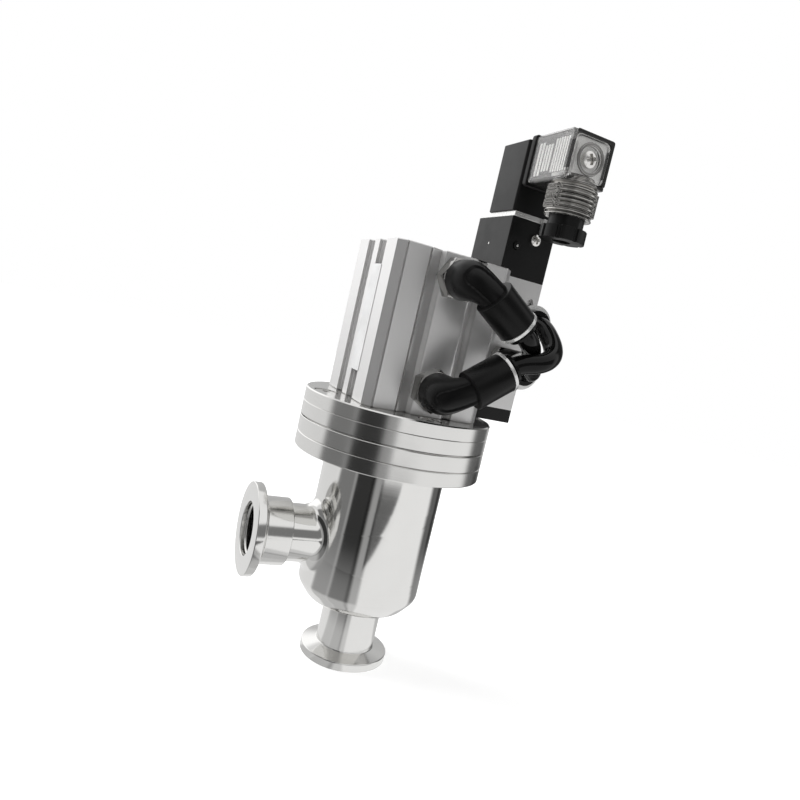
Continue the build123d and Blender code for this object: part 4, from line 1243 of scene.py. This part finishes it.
@dataclass
class Elbow:
    """Body of one push-in elbow: a swept bend from the hexagon, and the round socket on its arm.

    Its own axes are u along the arm, v back along the stem and w across both, from the corner.

    Args:
        name: Name of the elbow.
        height: Height of its axis.
        angle: Angle of the arm above +X, in degrees.
        waist_by: How many times faster than the bend the radius falls to the waist's.
        recess_half: Half width of the moulded recess; its depth, start and corner follow.
        recess_soft: Width of the recess's slope.
        socket_edge: Reach of the socket's round edges.
    """

    name: str
    height: float
    angle: float
    plane_y: float = -38.0
    stem_l: float = 12.0
    body_r: float = 6.1
    waist_r: float = 4.6
    bend_r: float = 8.6
    socket_at: float = 5.7
    end: float = 17.6
    recess_half: float = 3.3
    recess_deep: float = 0.6
    recess_from: float = 3.6
    recess_corner: float = 1.6
    mouth_r: float = 4.05
    mouth_depth: float = 5.1
    tube_r: float = 3.05
    tube_end: float = 10.05
    waist_by: float = 1.3
    recess_soft: float = 0.45
    socket_edge: float = 0.3
    stem_rows: int = 6
    bend_rows: int = 90
    columns: int = 144

    def placed(self, rows: np.ndarray) -> np.ndarray:
        """Turns points of the elbow's own axes into the object's frame.

        Args:
            rows: Points in u, v and w.

        Returns:
            The points in X, Y and Z.
        """
        a = radians(self.angle)
        axes = np.array([(cos(a), 0.0, sin(a)), (0.0, 1.0, 0.0), (-sin(a), 0.0, cos(a))])
        return rows @ axes + (0.0, self.plane_y, self.height)

    def bend(self) -> np.ndarray:
        """Rows of a round section swept down the stem and round the bend.

        The radius is the body's on the stem and falls to the waist's along the bend. On the outside
        of the bend is a shallow recess: a rectangle with round corners on the unrolled skin, whose
        depth goes in smoothly with the distance inside its edge.

        Returns:
            The grid in u, v and w.
        """
        stem = np.linspace(self.stem_l, self.bend_r, self.stem_rows)
        turn = np.linspace(0.0, pi / 2, self.bend_rows)
        angle = np.concatenate([0 * stem, turn])[:, None]
        u = np.concatenate([0 * stem, self.bend_r * (1 - np.cos(turn))])[:, None]
        v = np.concatenate([stem, self.bend_r * (1 - np.sin(turn))])[:, None]
        round_it = np.linspace(0.0, 2 * pi, self.columns, endpoint=False)[None]
        share = np.clip(angle / (pi / 2) * self.waist_by, 0.0, 1.0)
        radius = self.body_r + (self.waist_r - self.body_r) * share * share * (3 - 2 * share)
        corner = self.recess_corner
        across = radius * abs(np.sin(round_it)) - self.recess_half + corner
        before = self.recess_from + corner - angle * self.bend_r
        reach = np.hypot(np.maximum(across, 0.0), np.maximum(before, 0.0))
        inside = corner - reach - np.minimum(np.maximum(across, before), 0.0)
        sunk = np.clip(inside / self.recess_soft + 0.5, 0.0, 1.0) * (np.cos(round_it) > 0)
        radius = radius - self.recess_deep * sunk * sunk * (3 - 2 * sunk)
        out = radius * np.cos(round_it)
        return np.stack([
            u - out * np.cos(angle), v - out * np.sin(angle),
            radius * np.sin(round_it) + 0 * angle], axis=-1)

    def socket(self) -> np.ndarray:
        """Rows of the socket: a closed profile turned about the arm, with the hose's open mouth.

        Returns:
            The grid in u, v and w.
        """
        profile = rounded([
            (0.0, self.socket_at), (self.body_r, self.socket_at), (self.body_r, self.end),
            (self.mouth_r, self.end), (self.mouth_r, self.end - self.mouth_depth),
            (self.tube_r, self.end - self.mouth_depth), (self.tube_r, self.tube_end), (0.0, self.tube_end)],
            self.socket_edge)[3:-3]
        round_it = np.linspace(0.0, 2 * pi, self.columns, endpoint=False)
        return np.stack([
            np.broadcast_to(profile[:, 1:], (len(profile), self.columns)),
            profile[:, :1] * np.cos(round_it), profile[:, :1] * np.sin(round_it)], axis=-1)

    def build(self) -> None:
        """Builds the bend and the socket, which stand for the CAD node."""
        bend = skin(f"{self.name}_bend", FITTING, self.placed(capped(self.bend())))
        socket = skin(f"{self.name}_socket", FITTING, self.placed(capped(self.socket())))
        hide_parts(f"{self.name}_body")
        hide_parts(f"{self.name}_body")


@dataclass
class PushInFittings:
    """Elbows, straight fittings, their studs, rings and release collars."""

    upper_z: float = 132.8
    lower_z: float = 98.2
    upper_angle: float = -33.7
    lower_angle: float = 37.4
    stud_edge: float = 0.2
    fine_edge: float = 0.1
    ring_edge: float = 0.12
    collar_edge: float = 0.2

    def build(self) -> None:
        """Builds the fittings."""
        eased("elbow_studs", NICKEL, self.stud_edge)
        eased("valve_studs", NICKEL, self.fine_edge)
        eased("fitting_rings", PLATED, self.ring_edge)
        Elbow("upper_elbow", self.upper_z, self.upper_angle).build()
        Elbow("lower_elbow", self.lower_z, self.lower_angle).build()
        for fitting in ("upper_valve_fitting", "lower_valve_fitting"):
            eased(fitting, FITTING, self.fine_edge)
        for collar, body in (
                ("upper_elbow_collar", Body.UPPER_ELBOW), ("lower_elbow_collar", Body.LOWER_ELBOW),
                ("upper_valve_collar", Body.UPPER_STRAIGHT), ("lower_valve_collar", Body.LOWER_STRAIGHT)):
            eased(collar, COLLAR, self.collar_edge, body)


@dataclass(frozen=True)
class Hose:
    """One short hose between an elbow and a straight fitting, held at both ends.

    Args:
        node: The CAD node that it stands for.
        route: Control points of its centre line, in metres.
        length: Its length along that line, in metres; not used.
        diameter: Its outer diameter, in metres.
        fineness: Points between two control points.
        section: Fineness of the round section.
    """

    node: str
    route: tuple[Point, ...]
    length: float
    diameter: float = 0.006
    fineness: int = 16
    section: int = 10

    def build(self) -> None:
        """Builds the hose as one smooth spline with a round section and closed ends."""
        line = bpy.data.curves.new(f"{self.node}_line", "CURVE")
        line.dimensions = "3D"
        spline = line.splines.new("NURBS")
        spline.points.add(len(self.route) - 1)
        for point, place in zip(spline.points, self.route):
            point.co = (*place, 1.0)
        spline.order_u = 3
        spline.use_endpoint_u = True
        spline.resolution_u = self.fineness
        line.resolution_u = self.fineness
        line.bevel_depth = self.diameter / 2
        line.bevel_resolution = self.section
        line.use_fill_caps = True
        line.materials.append(HOSE.material())
        piece = bpy.data.objects.new(f"{self.node}_line", line)
        bpy.context.scene.collection.objects.link(piece)
        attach(piece, Body.VALVE.value)
        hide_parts(self.node)
        LOG.info("laid %s", self.node)


LOWER_ROUTE = (
    (0.00802, -0.03800, 0.10433),
    (0.01463, -0.03800, 0.10938),
    (0.01834, -0.03800, 0.11222),
    (0.02621, -0.03983, 0.11405),
    (0.03196, -0.03565, 0.11811),
    (0.03250, -0.02476, 0.12560),
    (0.03250, -0.01754, 0.12560),
    (0.03250, -0.01050, 0.12560),
)
UPPER_ROUTE = (
    (0.00840, -0.03800, 0.12720),
    (0.01474, -0.03800, 0.12297),
    (0.01979, -0.03800, 0.11960),
    (0.02448, -0.03355, 0.11753),
    (0.02727, -0.03047, 0.11211),
    (0.03250, -0.02525, 0.10990),
    (0.03250, -0.01705, 0.10990),
    (0.03250, -0.01050, 0.10990),
)


@dataclass
class Hoses:
    """The two short hoses that cross between the cylinder and the solenoid valve."""

    lower: Hose = Hose("lower_hose", LOWER_ROUTE, 0.0556)
    upper: Hose = Hose("upper_hose", UPPER_ROUTE, 0.0486)

    def build(self) -> None:
        """Builds both hoses."""
        self.lower.build()
        self.upper.build()


@dataclass
class SolenoidValve:
    """Valve block, pilot block, yoke and coil."""

    edge: float = 0.2
    fine_edge: float = 0.05
    nut_edge: float = 0.1
    button_edge: float = 0.3
    pin_edge: float = 0.12
    pin_r: float = 0.42
    pin_l: float = 0.3
    pin_columns: int = 24
    override_at: Point = (27.4, -4.75, 150.6)
    vent_at: Point = (23.35, 8.8, 150.6)
    pilot_screw: tuple[float, float] = (33.9, 154.0)
    front_y: float = -4.0
    back_y: float = 20.4
    mount_x: float = 38.9
    mount_z: tuple[float, float] = (103.6, 131.6)

    def build(self) -> None:
        """Builds the valve's pieces."""
        eased("valve_block", ANODISED, self.edge, crisp=BLOCK_CRISP)
        eased("end_cap", BLACK, self.edge, crisp=BLOCK_CRISP)
        eased("end_cap_screws", FASTENER, self.fine_edge)
        eased("pilot_block", BLACK, self.edge, crisp=BLOCK_CRISP)
        for name, y, sign in (("front", self.front_y, -1.0), ("back", self.back_y, 1.0)):
            centre = (self.pilot_screw[0], y, self.pilot_screw[1])
            CrossScrew(f"pilot_{name}_screw", "pilot_screws", centre, Axis.Y, sign,
                       head_r=1.9, head_h=1.6, shank_r=1.1, length=8.0).build()
        eased("override_button", BLACK, self.button_edge, Body.OVERRIDE)
        pin = rounded(
            [(0.0, 0.0), (self.pin_r, 0.0), (self.pin_r, self.pin_l), (0.0, self.pin_l)], self.pin_edge)
        pins = self.pin_columns
        skin("override_pin", FASTENER, capped(turned(pin, pins, Axis.Y, self.override_at)),
             body=Body.OVERRIDE)
        skin("vent_pin", FASTENER, capped(turned(pin, pins, Axis.X, self.vent_at)))
        eased("yoke_plate", PLATED, self.edge, crisp=BLOCK_CRISP)
        eased("coil", BLACK, self.edge, crisp=BLOCK_CRISP)
        eased("coil_nut", FASTENER, self.nut_edge)
        dress(INNER_STEEL, "core_tube", "plunger")
        dress(SPRING, "plunger_spring", "spool_spring")
        dress(MACHINED, "spool")
        dress(RUBBER, "spool_seals")
        eased("mounting_plate", PLATED, self.edge, crisp=BLOCK_CRISP)
        for name, height in (("lower", self.mount_z[0]), ("upper", self.mount_z[1])):
            centre = (self.mount_x, 0.0, height)
            CrossScrew(f"{name}_mount_screw", "mounting_screws", centre, Axis.X, 1.0,
                       head_r=2.75, head_h=2.5, shank_r=1.5, length=23.9, rim=0.9).build()


@dataclass
class CoilPlug:
    """Clear plug with its terminals, screw, cable gland and gasket.

    Args:
        ring: Radii of the boss about the screw's recess: inner, inner and outer at its top, outer.
        rib_groups: Each group's first rib, count and pitch, and its distances from floor and top.
        rib_share: Share of the pitch that a rib is wide.
        insert_y: Where the inner block starts and ends.
        insert_in: Its distances from the plug's left, right, floor and top.
        crest: Height and lift of the wave that is clipped to the gland's ribs.
        pad: Half width and half depth of the gland's two grips, and their lower and upper level.
        fine: Edges of the grips and of the black plates of painted shade.
    """

    left: float = 24.6
    right: float = 40.4
    front: float = -27.1
    back: float = -5.7
    low: float = 170.9
    high: float = 186.5
    wall: float = 1.2
    corner: float = 1.6
    lip: float = 0.6
    coil_y: float = -3.4
    frame_t: float = 0.45
    frame_edge: float = 0.08
    gasket_edge: float = 0.2
    screw: tuple[float, float] = (32.5, 178.7)
    recess_r: float = 4.0
    recess: float = 1.2
    screw_r: float = 1.65
    screw_l: float = 20.2
    ring: tuple[float, float, float, float] = (3.95, 4.15, 4.9, 5.2)
    ring_h: float = 0.65
    ring_edge: float = 0.35
    ring_sink: float = 0.05
    gland: tuple[float, float] = (32.5, -22.3)
    gland_r: float = 7.7
    gland_low: float = 160.5
    gland_bore: float = 5.0
    rib_t: float = 0.25
    rib_gap: float = 0.05
    rib_corner: float = 0.2
    shade_plate_t: float = 0.55
    rib_share: float = 0.55
    rib_groups: tuple[tuple[float, int, float, float, float], ...] = (
        (-24.6, 6, 1.35, 2.6, 2.2), (-15.6, 3, 1.6, 3.4, 3.6), (-10.6, 2, 1.9, 2.2, 2.6))
    insert_y: tuple[float, float] = (-24.6, -14.9)
    insert_in: tuple[float, float, float, float] = (3.4, 1.25, 1.9, 1.3)
    ribs: int = 7
    rib_rows: int = 12
    rib: float = 0.85
    crest: tuple[float, float] = (1.7, 0.7)
    cone: float = 2.6
    pad: tuple[float, float, float, float] = (8.1, 3.3, 162.2, 169.6)
    pad_root: float = 5.6
    teeth: int = 15
    tooth: float = 0.32
    rim_edge: float = 0.3
    recess_edge: float = 0.45
    far_corner: float = 0.9
    front_corner: float = 2.2
    lip_corner: float = 1.2
    fine: float = 0.1
    edge: float = 0.15

    def plate(self, x0: float, x1: float, z0: float, z1: float, corner: float) -> np.ndarray:
        """Rectangle with round corners, walked with its inside on the left."""
        return rounded([(x0, z0), (x1, z0), (x1, z1), (x0, z1)], corner, steps=7)

    def front_wall(self) -> None:
        """Front wall between the side walls, with the screw's recess and hole."""
        outline = self.plate(
            self.left + self.wall, self.right - self.wall, self.low + self.wall, self.high - self.wall,
            self.front_corner)
        narrow = self.screw_r - self.recess_r
        floor_y = self.front + self.recess
        inner_y = self.front + 2 * self.wall
        rim, lip = self.rim_edge, self.recess_edge
        piece = extruded(
            "plug_front_wall", CLEAR, [outline, circle(*self.screw, self.recess_r)], Axis.Y,
            [(self.front, rim), (self.front + rim, 0.0), (inner_y, 0.0)],
            [(self.front, lip), (self.front + lip, 0.0), (floor_y, 0.0), (floor_y, narrow),
             (inner_y, narrow)])
        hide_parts("plug_housing")

    def side_walls(self) -> None:
        """Clear left wall; the right, top and bottom walls, the last with the cable's hole, in a darker copy
        of the clear plastic, which is painted shade.
        """
        wall = self.wall
        left = self.plate(self.front, self.back, self.low, self.high, self.corner)
        extruded("plug_left_wall", CLEAR, [left], Axis.X, [
            (self.left, self.rim_edge), (self.left + self.rim_edge, 0.0), (self.left + wall, 0.0)])
        outer = [(self.right, self.low + wall), (self.right, self.high), (self.left + wall, self.high),
                 (self.left + wall, self.high - wall), (self.right - wall, self.high - wall),
                 (self.right - wall, self.low + wall)]
        ends = eased_ends(self.front, self.back, self.edge)
        # Painted shade: these walls are the same clear plastic as the left wall, drawn darker
        extruded("plug_far_walls", SHADED_CLEAR, [rounded(outer, self.far_corner)], Axis.Y, ends)
        bottom = rounded([(self.left + wall, self.front), (self.right, self.front), (self.right, self.back),
                          (self.left + wall, self.back)], self.far_corner)
        extruded("plug_bottom_wall", SHADED_CLEAR, [bottom, circle(*self.gland, self.gland_bore)], Axis.Z,
                 eased_ends(self.low, self.low + wall, self.edge))

    def inner_ribs(self) -> None:
        """Frosted ribs that show through the left wall, in groups, each on a thin black plate that is painted
        shade between the ribs.
        """
        gap = self.rib_gap
        x0 = self.left + self.wall + gap
        x1 = x0 + self.rib_t
        for group, (start, count, pitch, up, down) in enumerate(self.rib_groups):
            z0, z1 = self.low + up, self.high - down
            end = start + (count - 1 + self.rib_share) * pitch
            inner = self.fine
            # Painted shade: a thin black plate behind each group darkens the gaps between the ribs
            shade_plate = self.plate(start + inner, end - inner, z0 + inner, z1 - inner, self.rib_corner)
            extruded(f"plug_backing_{group}", BLACK, [shade_plate], Axis.X,
                     eased_ends(x1 + gap, x1 + gap + self.shade_plate_t, self.fine))
            for number in range(count):
                y = start + number * pitch
                outline = self.plate(y, y + pitch * self.rib_share, z0, z1, self.rib_corner)
                extruded(f"plug_rib_{group}_{number}", FROST, [outline], Axis.X, eased_ends(x0, x1, gap))

    def insert(self) -> None:
        """Pale block in the plug that carries the terminals, with a hole for the screw."""
        left, right, low, high = self.insert_in
        outline = self.plate(
            self.left + left, self.right - right, self.low + low, self.high - high, self.lip_corner)
        extruded("plug_insert", FROST, [outline, circle(*self.screw, self.screw_r + 0.5)], Axis.Y,
                 eased_ends(*self.insert_y, self.rim_edge))

    def screw_ring(self) -> None:
        """Low round boss about the screw's recess, from one rounded profile turned about Y."""
        inner, inner_top, outer_top, outer = self.ring
        profile = rounded(
            [(inner, 0.0), (outer, 0.0), (outer_top, self.ring_h), (inner_top, self.ring_h)], self.ring_edge)
        centre = (self.screw[0], self.front + self.ring_sink, self.screw[1])
        grid = looped(turned(profile, segments=96, axis=Axis.Y, centre=centre, sign=-1.0))
        skin("plug_screw_ring", RING_GREY, grid)

    def cable_gland(self) -> None:
        """Ribbed gland turned about Z: the outer radius waves in and out once for each rib."""
        height = np.linspace(self.gland_low, self.low, self.ribs * self.rib_rows + 1)
        phase = (height - self.gland_low) / (self.low - self.gland_low) * self.ribs
        groove = np.clip(self.crest[0] * np.cos(2 * pi * phase) + self.crest[1], -1.0, 1.0)
        radius = self.gland_r - self.rib * (0.5 - 0.5 * groove)
        outer = np.stack([radius, height], axis=1)
        inner = [(self.gland_r - self.cone, self.low + self.cone), (self.gland_bore, self.low + self.cone),
                 (self.gland_bore, self.gland_low)]
        profile = np.concatenate([outer, inner])
        grid = looped(turned(profile, segments=128, centre=(*self.gland, 0.0)))
        skin("plug_gland", GLAND, grid)
        half, deep, z0, z1 = self.pad
        teeth = np.linspace(-deep, deep, self.teeth)
        bite = np.where(np.arange(self.teeth) % 2 == 0, self.tooth, 0.0)
        for side, name in ((-1, "left"), (1, "right")):
            edge = np.stack([self.gland[0] + side * (half - bite), self.gland[1] + teeth], axis=1)
            root = self.gland[0] + side * self.pad_root
            close = np.array([(root, self.gland[1] + deep), (root, self.gland[1] - deep)])
            outline = np.concatenate([edge, close])
            outline = outline if side > 0 else outline[::-1]
            extruded(f"plug_{name}_grip", GLAND, [outline], Axis.Z, eased_ends(z0, z1, self.fine))

    def gasket(self) -> None:
        """Grey gasket on the coil and the thin black frame of the plug's back."""
        outline = self.plate(
            self.left - self.lip, self.right + self.lip, self.low - self.lip, self.high + self.lip,
            self.lip_corner)
        seam = self.back + self.frame_t
        piece = extruded("plug_gasket_slab", GASKET, [outline], Axis.Y,
                         eased_ends(seam, self.coil_y, self.gasket_edge))
        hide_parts("plug_gasket")
        extruded("plug_back_frame", BLACK, [outline], Axis.Y, eased_ends(self.back, seam, self.frame_edge))

    def build(self) -> None:
        """Builds the plug's pieces."""
        self.front_wall()
        self.side_walls()
        self.inner_ribs()
        self.cable_gland()
        self.gasket()
        self.insert()
        self.screw_ring()
        eased("terminal_block", BLACK, self.edge, crisp=BLOCK_CRISP)
        face = (self.screw[0], self.front + self.recess, self.screw[1])
        CrossScrew("plug_cross_screw", "plug_screw", face, Axis.Y, -1.0,
                   head_r=2.6, head_h=2.2, shank_r=1.5, length=self.screw_l).build()
        eased("gland_nut", BLACK, self.edge)


# Studio
@dataclass(frozen=True)
class Card:
    """A dark card in the surroundings, seen from the object.

    Args:
        centre: Azimuth of its middle, in degrees to the right of the camera's.
        half: Half its width in degrees.
        soft: Width of its soft edge in degrees.
        dark: How dark it is; below zero it is bright.
        low: Elevation of its lower edge.
        high: Elevation of its upper edge.
    """

    centre: float
    half: float
    soft: float
    dark: float
    low: float = -90.0
    high: float = 90.0


@dataclass(frozen=True)
class Lamp:
    """A soft disc lamp, given by azimuth and elevation in degrees, distance and size in metres, and watts."""

    azimuth: float
    elevation: float
    distance: float
    size: float
    power: float


@dataclass
class Studio:
    """White studio: surroundings with dark cards, a key lamp, a pale floor and the camera.

    Args:
        eye: Place of the camera in millimetres; its other values are in degrees and millimetres.
        lift: Light that the eye adds to the floor, so that it is white.
        ambient: Grey level of the light that matt surfaces get.
        lamp_aim: Height in metres of the point that the lamps aim at.
        bright: Grey level of the surroundings between the cards.
        card_fade: Height in degrees of the cards' soft upper and lower edges.
        far_card: A card that only the far floor's painted reflection shows.
        sheet: A card that shows in the floor's painted reflection only on one part of the floor.
        sheet_edge: Start, slope and reach of that part, in metres.
        sheet_soft: Half the width of the sheet's edge, in metres.
        reach_soft: Width of its far edge.
        floor_depth: Share of the cards' darkness that the floor's painted reflection shows at its middle.
        fades: Ranges of distance, in metres, over which that share grows, and by how much.
        strip: Distances between which the far card's part of the floor comes and goes.
        dip: How far below level the floor's painted reflection looks.
    """

    eye: Point = (-93.045, -215.361, 117.288)
    azimuth: float = -25.907
    elevation: float = 5.857
    roll: float = 13.329
    lens: float = 31.41
    sensor: float = 36.0
    near_clip: float = 0.01
    lift: float = 0.66
    ambient: float = 0.36
    soft_lamps: tuple[Lamp, ...] = (Lamp(-122.0, 36.0, 1.4, 1.2, 19.0),)
    lamp_aim: float = 0.1
    shift_x: float = -0.0397
    floor_r: float = 1500.0
    floor_z: float = -0.05
    bright: float = 0.93
    cards: tuple[Card, ...] = (
        Card(-24.0, 14.0, 7.0, 0.96, -60.0, 62.0),
        Card(-60.0, 13.0, 9.0, 0.78, -60.0, 50.0),
        Card(-2.0, 6.0, 7.0, 0.62, -60.0, 62.0),
        Card(-140.0, 50.0, 20.0, 0.14, -60.0, 60.0),
        Card(132.0, 12.0, 14.0, 0.86, -60.0, 60.0),
        Card(175.0, 12.0, 18.0, 0.35, -60.0, 60.0),
        Card(50.0, 34.0, 12.0, 0.78, -5.0, 34.0),
        Card(-128.0, 24.0, 14.0, -0.6, -4.0, 45.0),
    )
    card_fade: float = 8.0
    far_card: Card = Card(160.0, 18.0, 12.0, 0.72)
    sheet: Card = Card(36.0, 30.0, 3.0, 0.85)
    sheet_edge: tuple[float, float, float] = (0.117, 0.54, 0.31)
    sheet_soft: float = 0.004
    reach_soft: float = 0.02
    floor_grey: Colour = (0.86, 0.86, 0.86)
    floor_depth: float = 0.45
    fades: tuple[tuple[float, float, float], ...] = ((0.04, 0.07, 0.35), (0.08, 0.16, 0.2))
    strip: tuple[tuple[float, float], ...] = ((0.1, 0.17), (0.38, 0.5))
    dip: float = 0.1

    def build(self) -> None:
        """Sets up the view, the surroundings, the lamps and the floor."""
        scene = bpy.context.scene
        scene.view_settings.view_transform = "Standard"
        self.camera(scene)
        self.surroundings(scene)
        self.lamps(scene)
        self.floor(scene)

    def camera(self, scene: bpy.types.Scene) -> None:
        """Camera where the photograph was taken from.

        Args:
            scene: The scene that gets it.
        """
        a, e, r = radians(self.azimuth), radians(self.elevation), radians(self.roll)
        back = Vector((sin(a) * cos(e), -cos(a) * cos(e), sin(e)))
        right = (-back).cross(Vector((0, 0, 1))).normalized()
        up = right.cross(-back)
        turned_right = cos(r) * right + sin(r) * up
        turned_up = cos(r) * up - sin(r) * right
        data = bpy.data.cameras.new("photo_camera")
        data.sensor_width = self.sensor
        data.lens = self.lens
        data.shift_x = self.shift_x
        data.clip_start = self.near_clip
        made = bpy.data.objects.new("photo_camera", data)
        turn = Matrix((turned_right, turned_up, back)).transposed().to_4x4()
        made.matrix_world = Matrix.Translation(Vector(self.eye) * MM) @ turn
        scene.collection.objects.link(made)
        scene.camera = made

    def mask(self, direction: tuple[Signal, Signal, Signal], card: Card) -> Signal:
        """Mask of one card: the product of smooth steps at its sides and at its upper and lower edge.

        Args:
            direction: The parts of the unit direction.
            card: The card.

        Returns:
            1 on the card and 0 off it.
        """
        x, y, z = direction
        toward = radians(self.azimuth - 90.0 + card.centre)
        level = (x * x + y * y).larger(1e-6) ** 0.5
        facing = (x * cos(toward) + y * sin(toward)) / level
        across = facing.rise(cos(radians(card.half + card.soft)), cos(radians(card.half)))
        above = z.rise(sin(radians(card.low)), sin(radians(card.low + self.card_fade)))
        below = 1 - z.rise(sin(radians(card.high - self.card_fade)), sin(radians(card.high)))
        return across * above * below

    def reflected(self, direction: tuple[Signal, Signal, Signal], depth: Value) -> Signal:
        """Grey level that metal sees in a direction: pale with dark cards.

        Args:
            direction: The parts of the unit direction.
            depth: Share of the cards' darkness that shows.

        Returns:
            The grey level.
        """
        level: Value = self.bright
        for card in self.cards:
            level = level * (1 - self.mask(direction, card) * depth * card.dark)
        return level

    def surroundings(self, scene: bpy.types.Scene) -> None:
        """World: white to the eye and through clear plastic, cards for reflections, even for diffuse.

        Args:
            scene: The scene that gets it.
        """
        world = bpy.data.worlds.new("studio")
        world.use_nodes = True
        scene.world = world
        graph = Graph(world.node_tree)
        direction = graph.split(graph.node("ShaderNodeTexCoord", output="Generated"))
        level = self.reflected(direction, 1.0)
        path = graph.node("ShaderNodeLightPath", output="Is Camera Ray")
        plain = path.larger(path.out("Is Transmission Ray"))
        glossy = path.out("Is Glossy Ray") * (1 - plain)
        tone = graph.blend(glossy, opaque((self.ambient,) * 3), WHITE)
        tone = graph.blend(plain, tone, WHITE)
        shade = 1 - glossy * (1 - level)
        surface = graph.node("ShaderNodeBackground", inputs={"Color": tone, "Strength": shade})
        graph.node("ShaderNodeOutputWorld", inputs={"Surface": surface})

    def lamps(self, scene: bpy.types.Scene) -> None:
        """Large soft lamps that neither the eye nor a reflection sees.

        Args:
            scene: The scene that gets them.
        """
        for number, lamp in enumerate(self.soft_lamps):
            data = bpy.data.lights.new(f"softbox_{number}", "AREA")
            data.shape = "DISK"
            data.size = lamp.size
            data.energy = lamp.power
            made = bpy.data.objects.new(f"softbox_{number}", data)
            a, e = radians(lamp.azimuth), radians(lamp.elevation)
            toward = Vector((sin(a) * cos(e), -cos(a) * cos(e), sin(e)))
            turn = toward.to_track_quat("Z", "Y").to_matrix().to_4x4()
            place = toward * lamp.distance + Vector((0.0, 0.0, self.lamp_aim))
            made.matrix_world = Matrix.Translation(place) @ turn
            made.visible_camera = False
            made.visible_glossy = False
            scene.collection.objects.link(made)

    def floor(self, scene: bpy.types.Scene) -> None:
        """Pale disc floor about the main axis.

        Args:
            scene: The scene that gets it.
        """
        rim = circle(0.0, 0.0, self.floor_r)
        rim = np.concatenate([rim, np.full((len(rim), 1), self.floor_z)], axis=1) * MM
        mesh = bpy.data.meshes.new("floor")
        mesh.from_pydata(rim.tolist(), [], [list(range(len(rim)))])
        mesh.materials.append(self.floor_finish())
        made = bpy.data.objects.new("floor", mesh)
        scene.collection.objects.link(made)

    def floor_finish(self) -> bpy.types.Material:
        """Material of the floor: white to the eye where nothing shades it; to reflection rays it emits a
        painted reflection of the cards.

        Returns:
            The material.
        """
        material = bpy.data.materials.new("pale_floor")
        material.use_nodes = True
        graph = Graph(material.node_tree)
        x, y, _ = graph.split(graph.place())
        length = (x * x + y * y).larger(1e-8) ** 0.5
        depth: Value = self.floor_depth
        for low, high, share in self.fades:
            depth = length.rise(low, high) * share + depth
        facing = (x / length, y / length, length * 0 - self.dip)
        level = self.reflected(facing, depth)
        comes, goes = self.strip
        strip = length.rise(*comes) * (1 - length.rise(*goes))
        level = level * (1 - self.mask(facing, self.far_card) * strip * self.far_card.dark)
        start, slope, reach = self.sheet_edge
        toward = radians(self.azimuth - 90.0)
        ahead = x * cos(toward) + y * sin(toward)
        aside = y * cos(toward) - x * sin(toward)
        past = (ahead - aside * slope - start).rise(-self.sheet_soft, self.sheet_soft)
        lies = past * (1 - length.rise(reach - self.reach_soft, reach))
        level = level * (1 - self.mask(facing, self.sheet) * lies * self.sheet.dark)
        path = graph.node("ShaderNodeLightPath", output="Is Camera Ray")
        matte = graph.node("ShaderNodeBsdfDiffuse", inputs={"Color": opaque(self.floor_grey)})
        lift = graph.node("ShaderNodeEmission", inputs={"Color": WHITE, "Strength": path * self.lift})
        seen = graph.node("ShaderNodeAddShader", inputs={0: matte, 1: lift})
        # Painted reflection: to reflection rays the floor emits the cards' pattern instead of reflecting them
        painted_reflection = graph.node("ShaderNodeEmission", inputs={"Color": WHITE, "Strength": level})
        surface = graph.node("ShaderNodeMixShader", inputs={0: path.out("Is Glossy Ray"), 1: seen, 2: painted_reflection})
        graph.node("ShaderNodeOutputMaterial", inputs={"Surface": surface})
        return material


def main() -> None:
    """Builds the studio and every sub-assembly."""
    logging.basicConfig(level=logging.INFO, format="%(name)s: %(message)s")
    for assembly in (Studio(), Hoses(), Chamber(), FlangeStack(), Mechanism(), AirCylinder(),
                     PushInFittings(), SolenoidValve(), CoilPlug()):
        assembly.build()
        LOG.info("built %s", type(assembly).__name__)


if __name__ == "__main__":
    main()
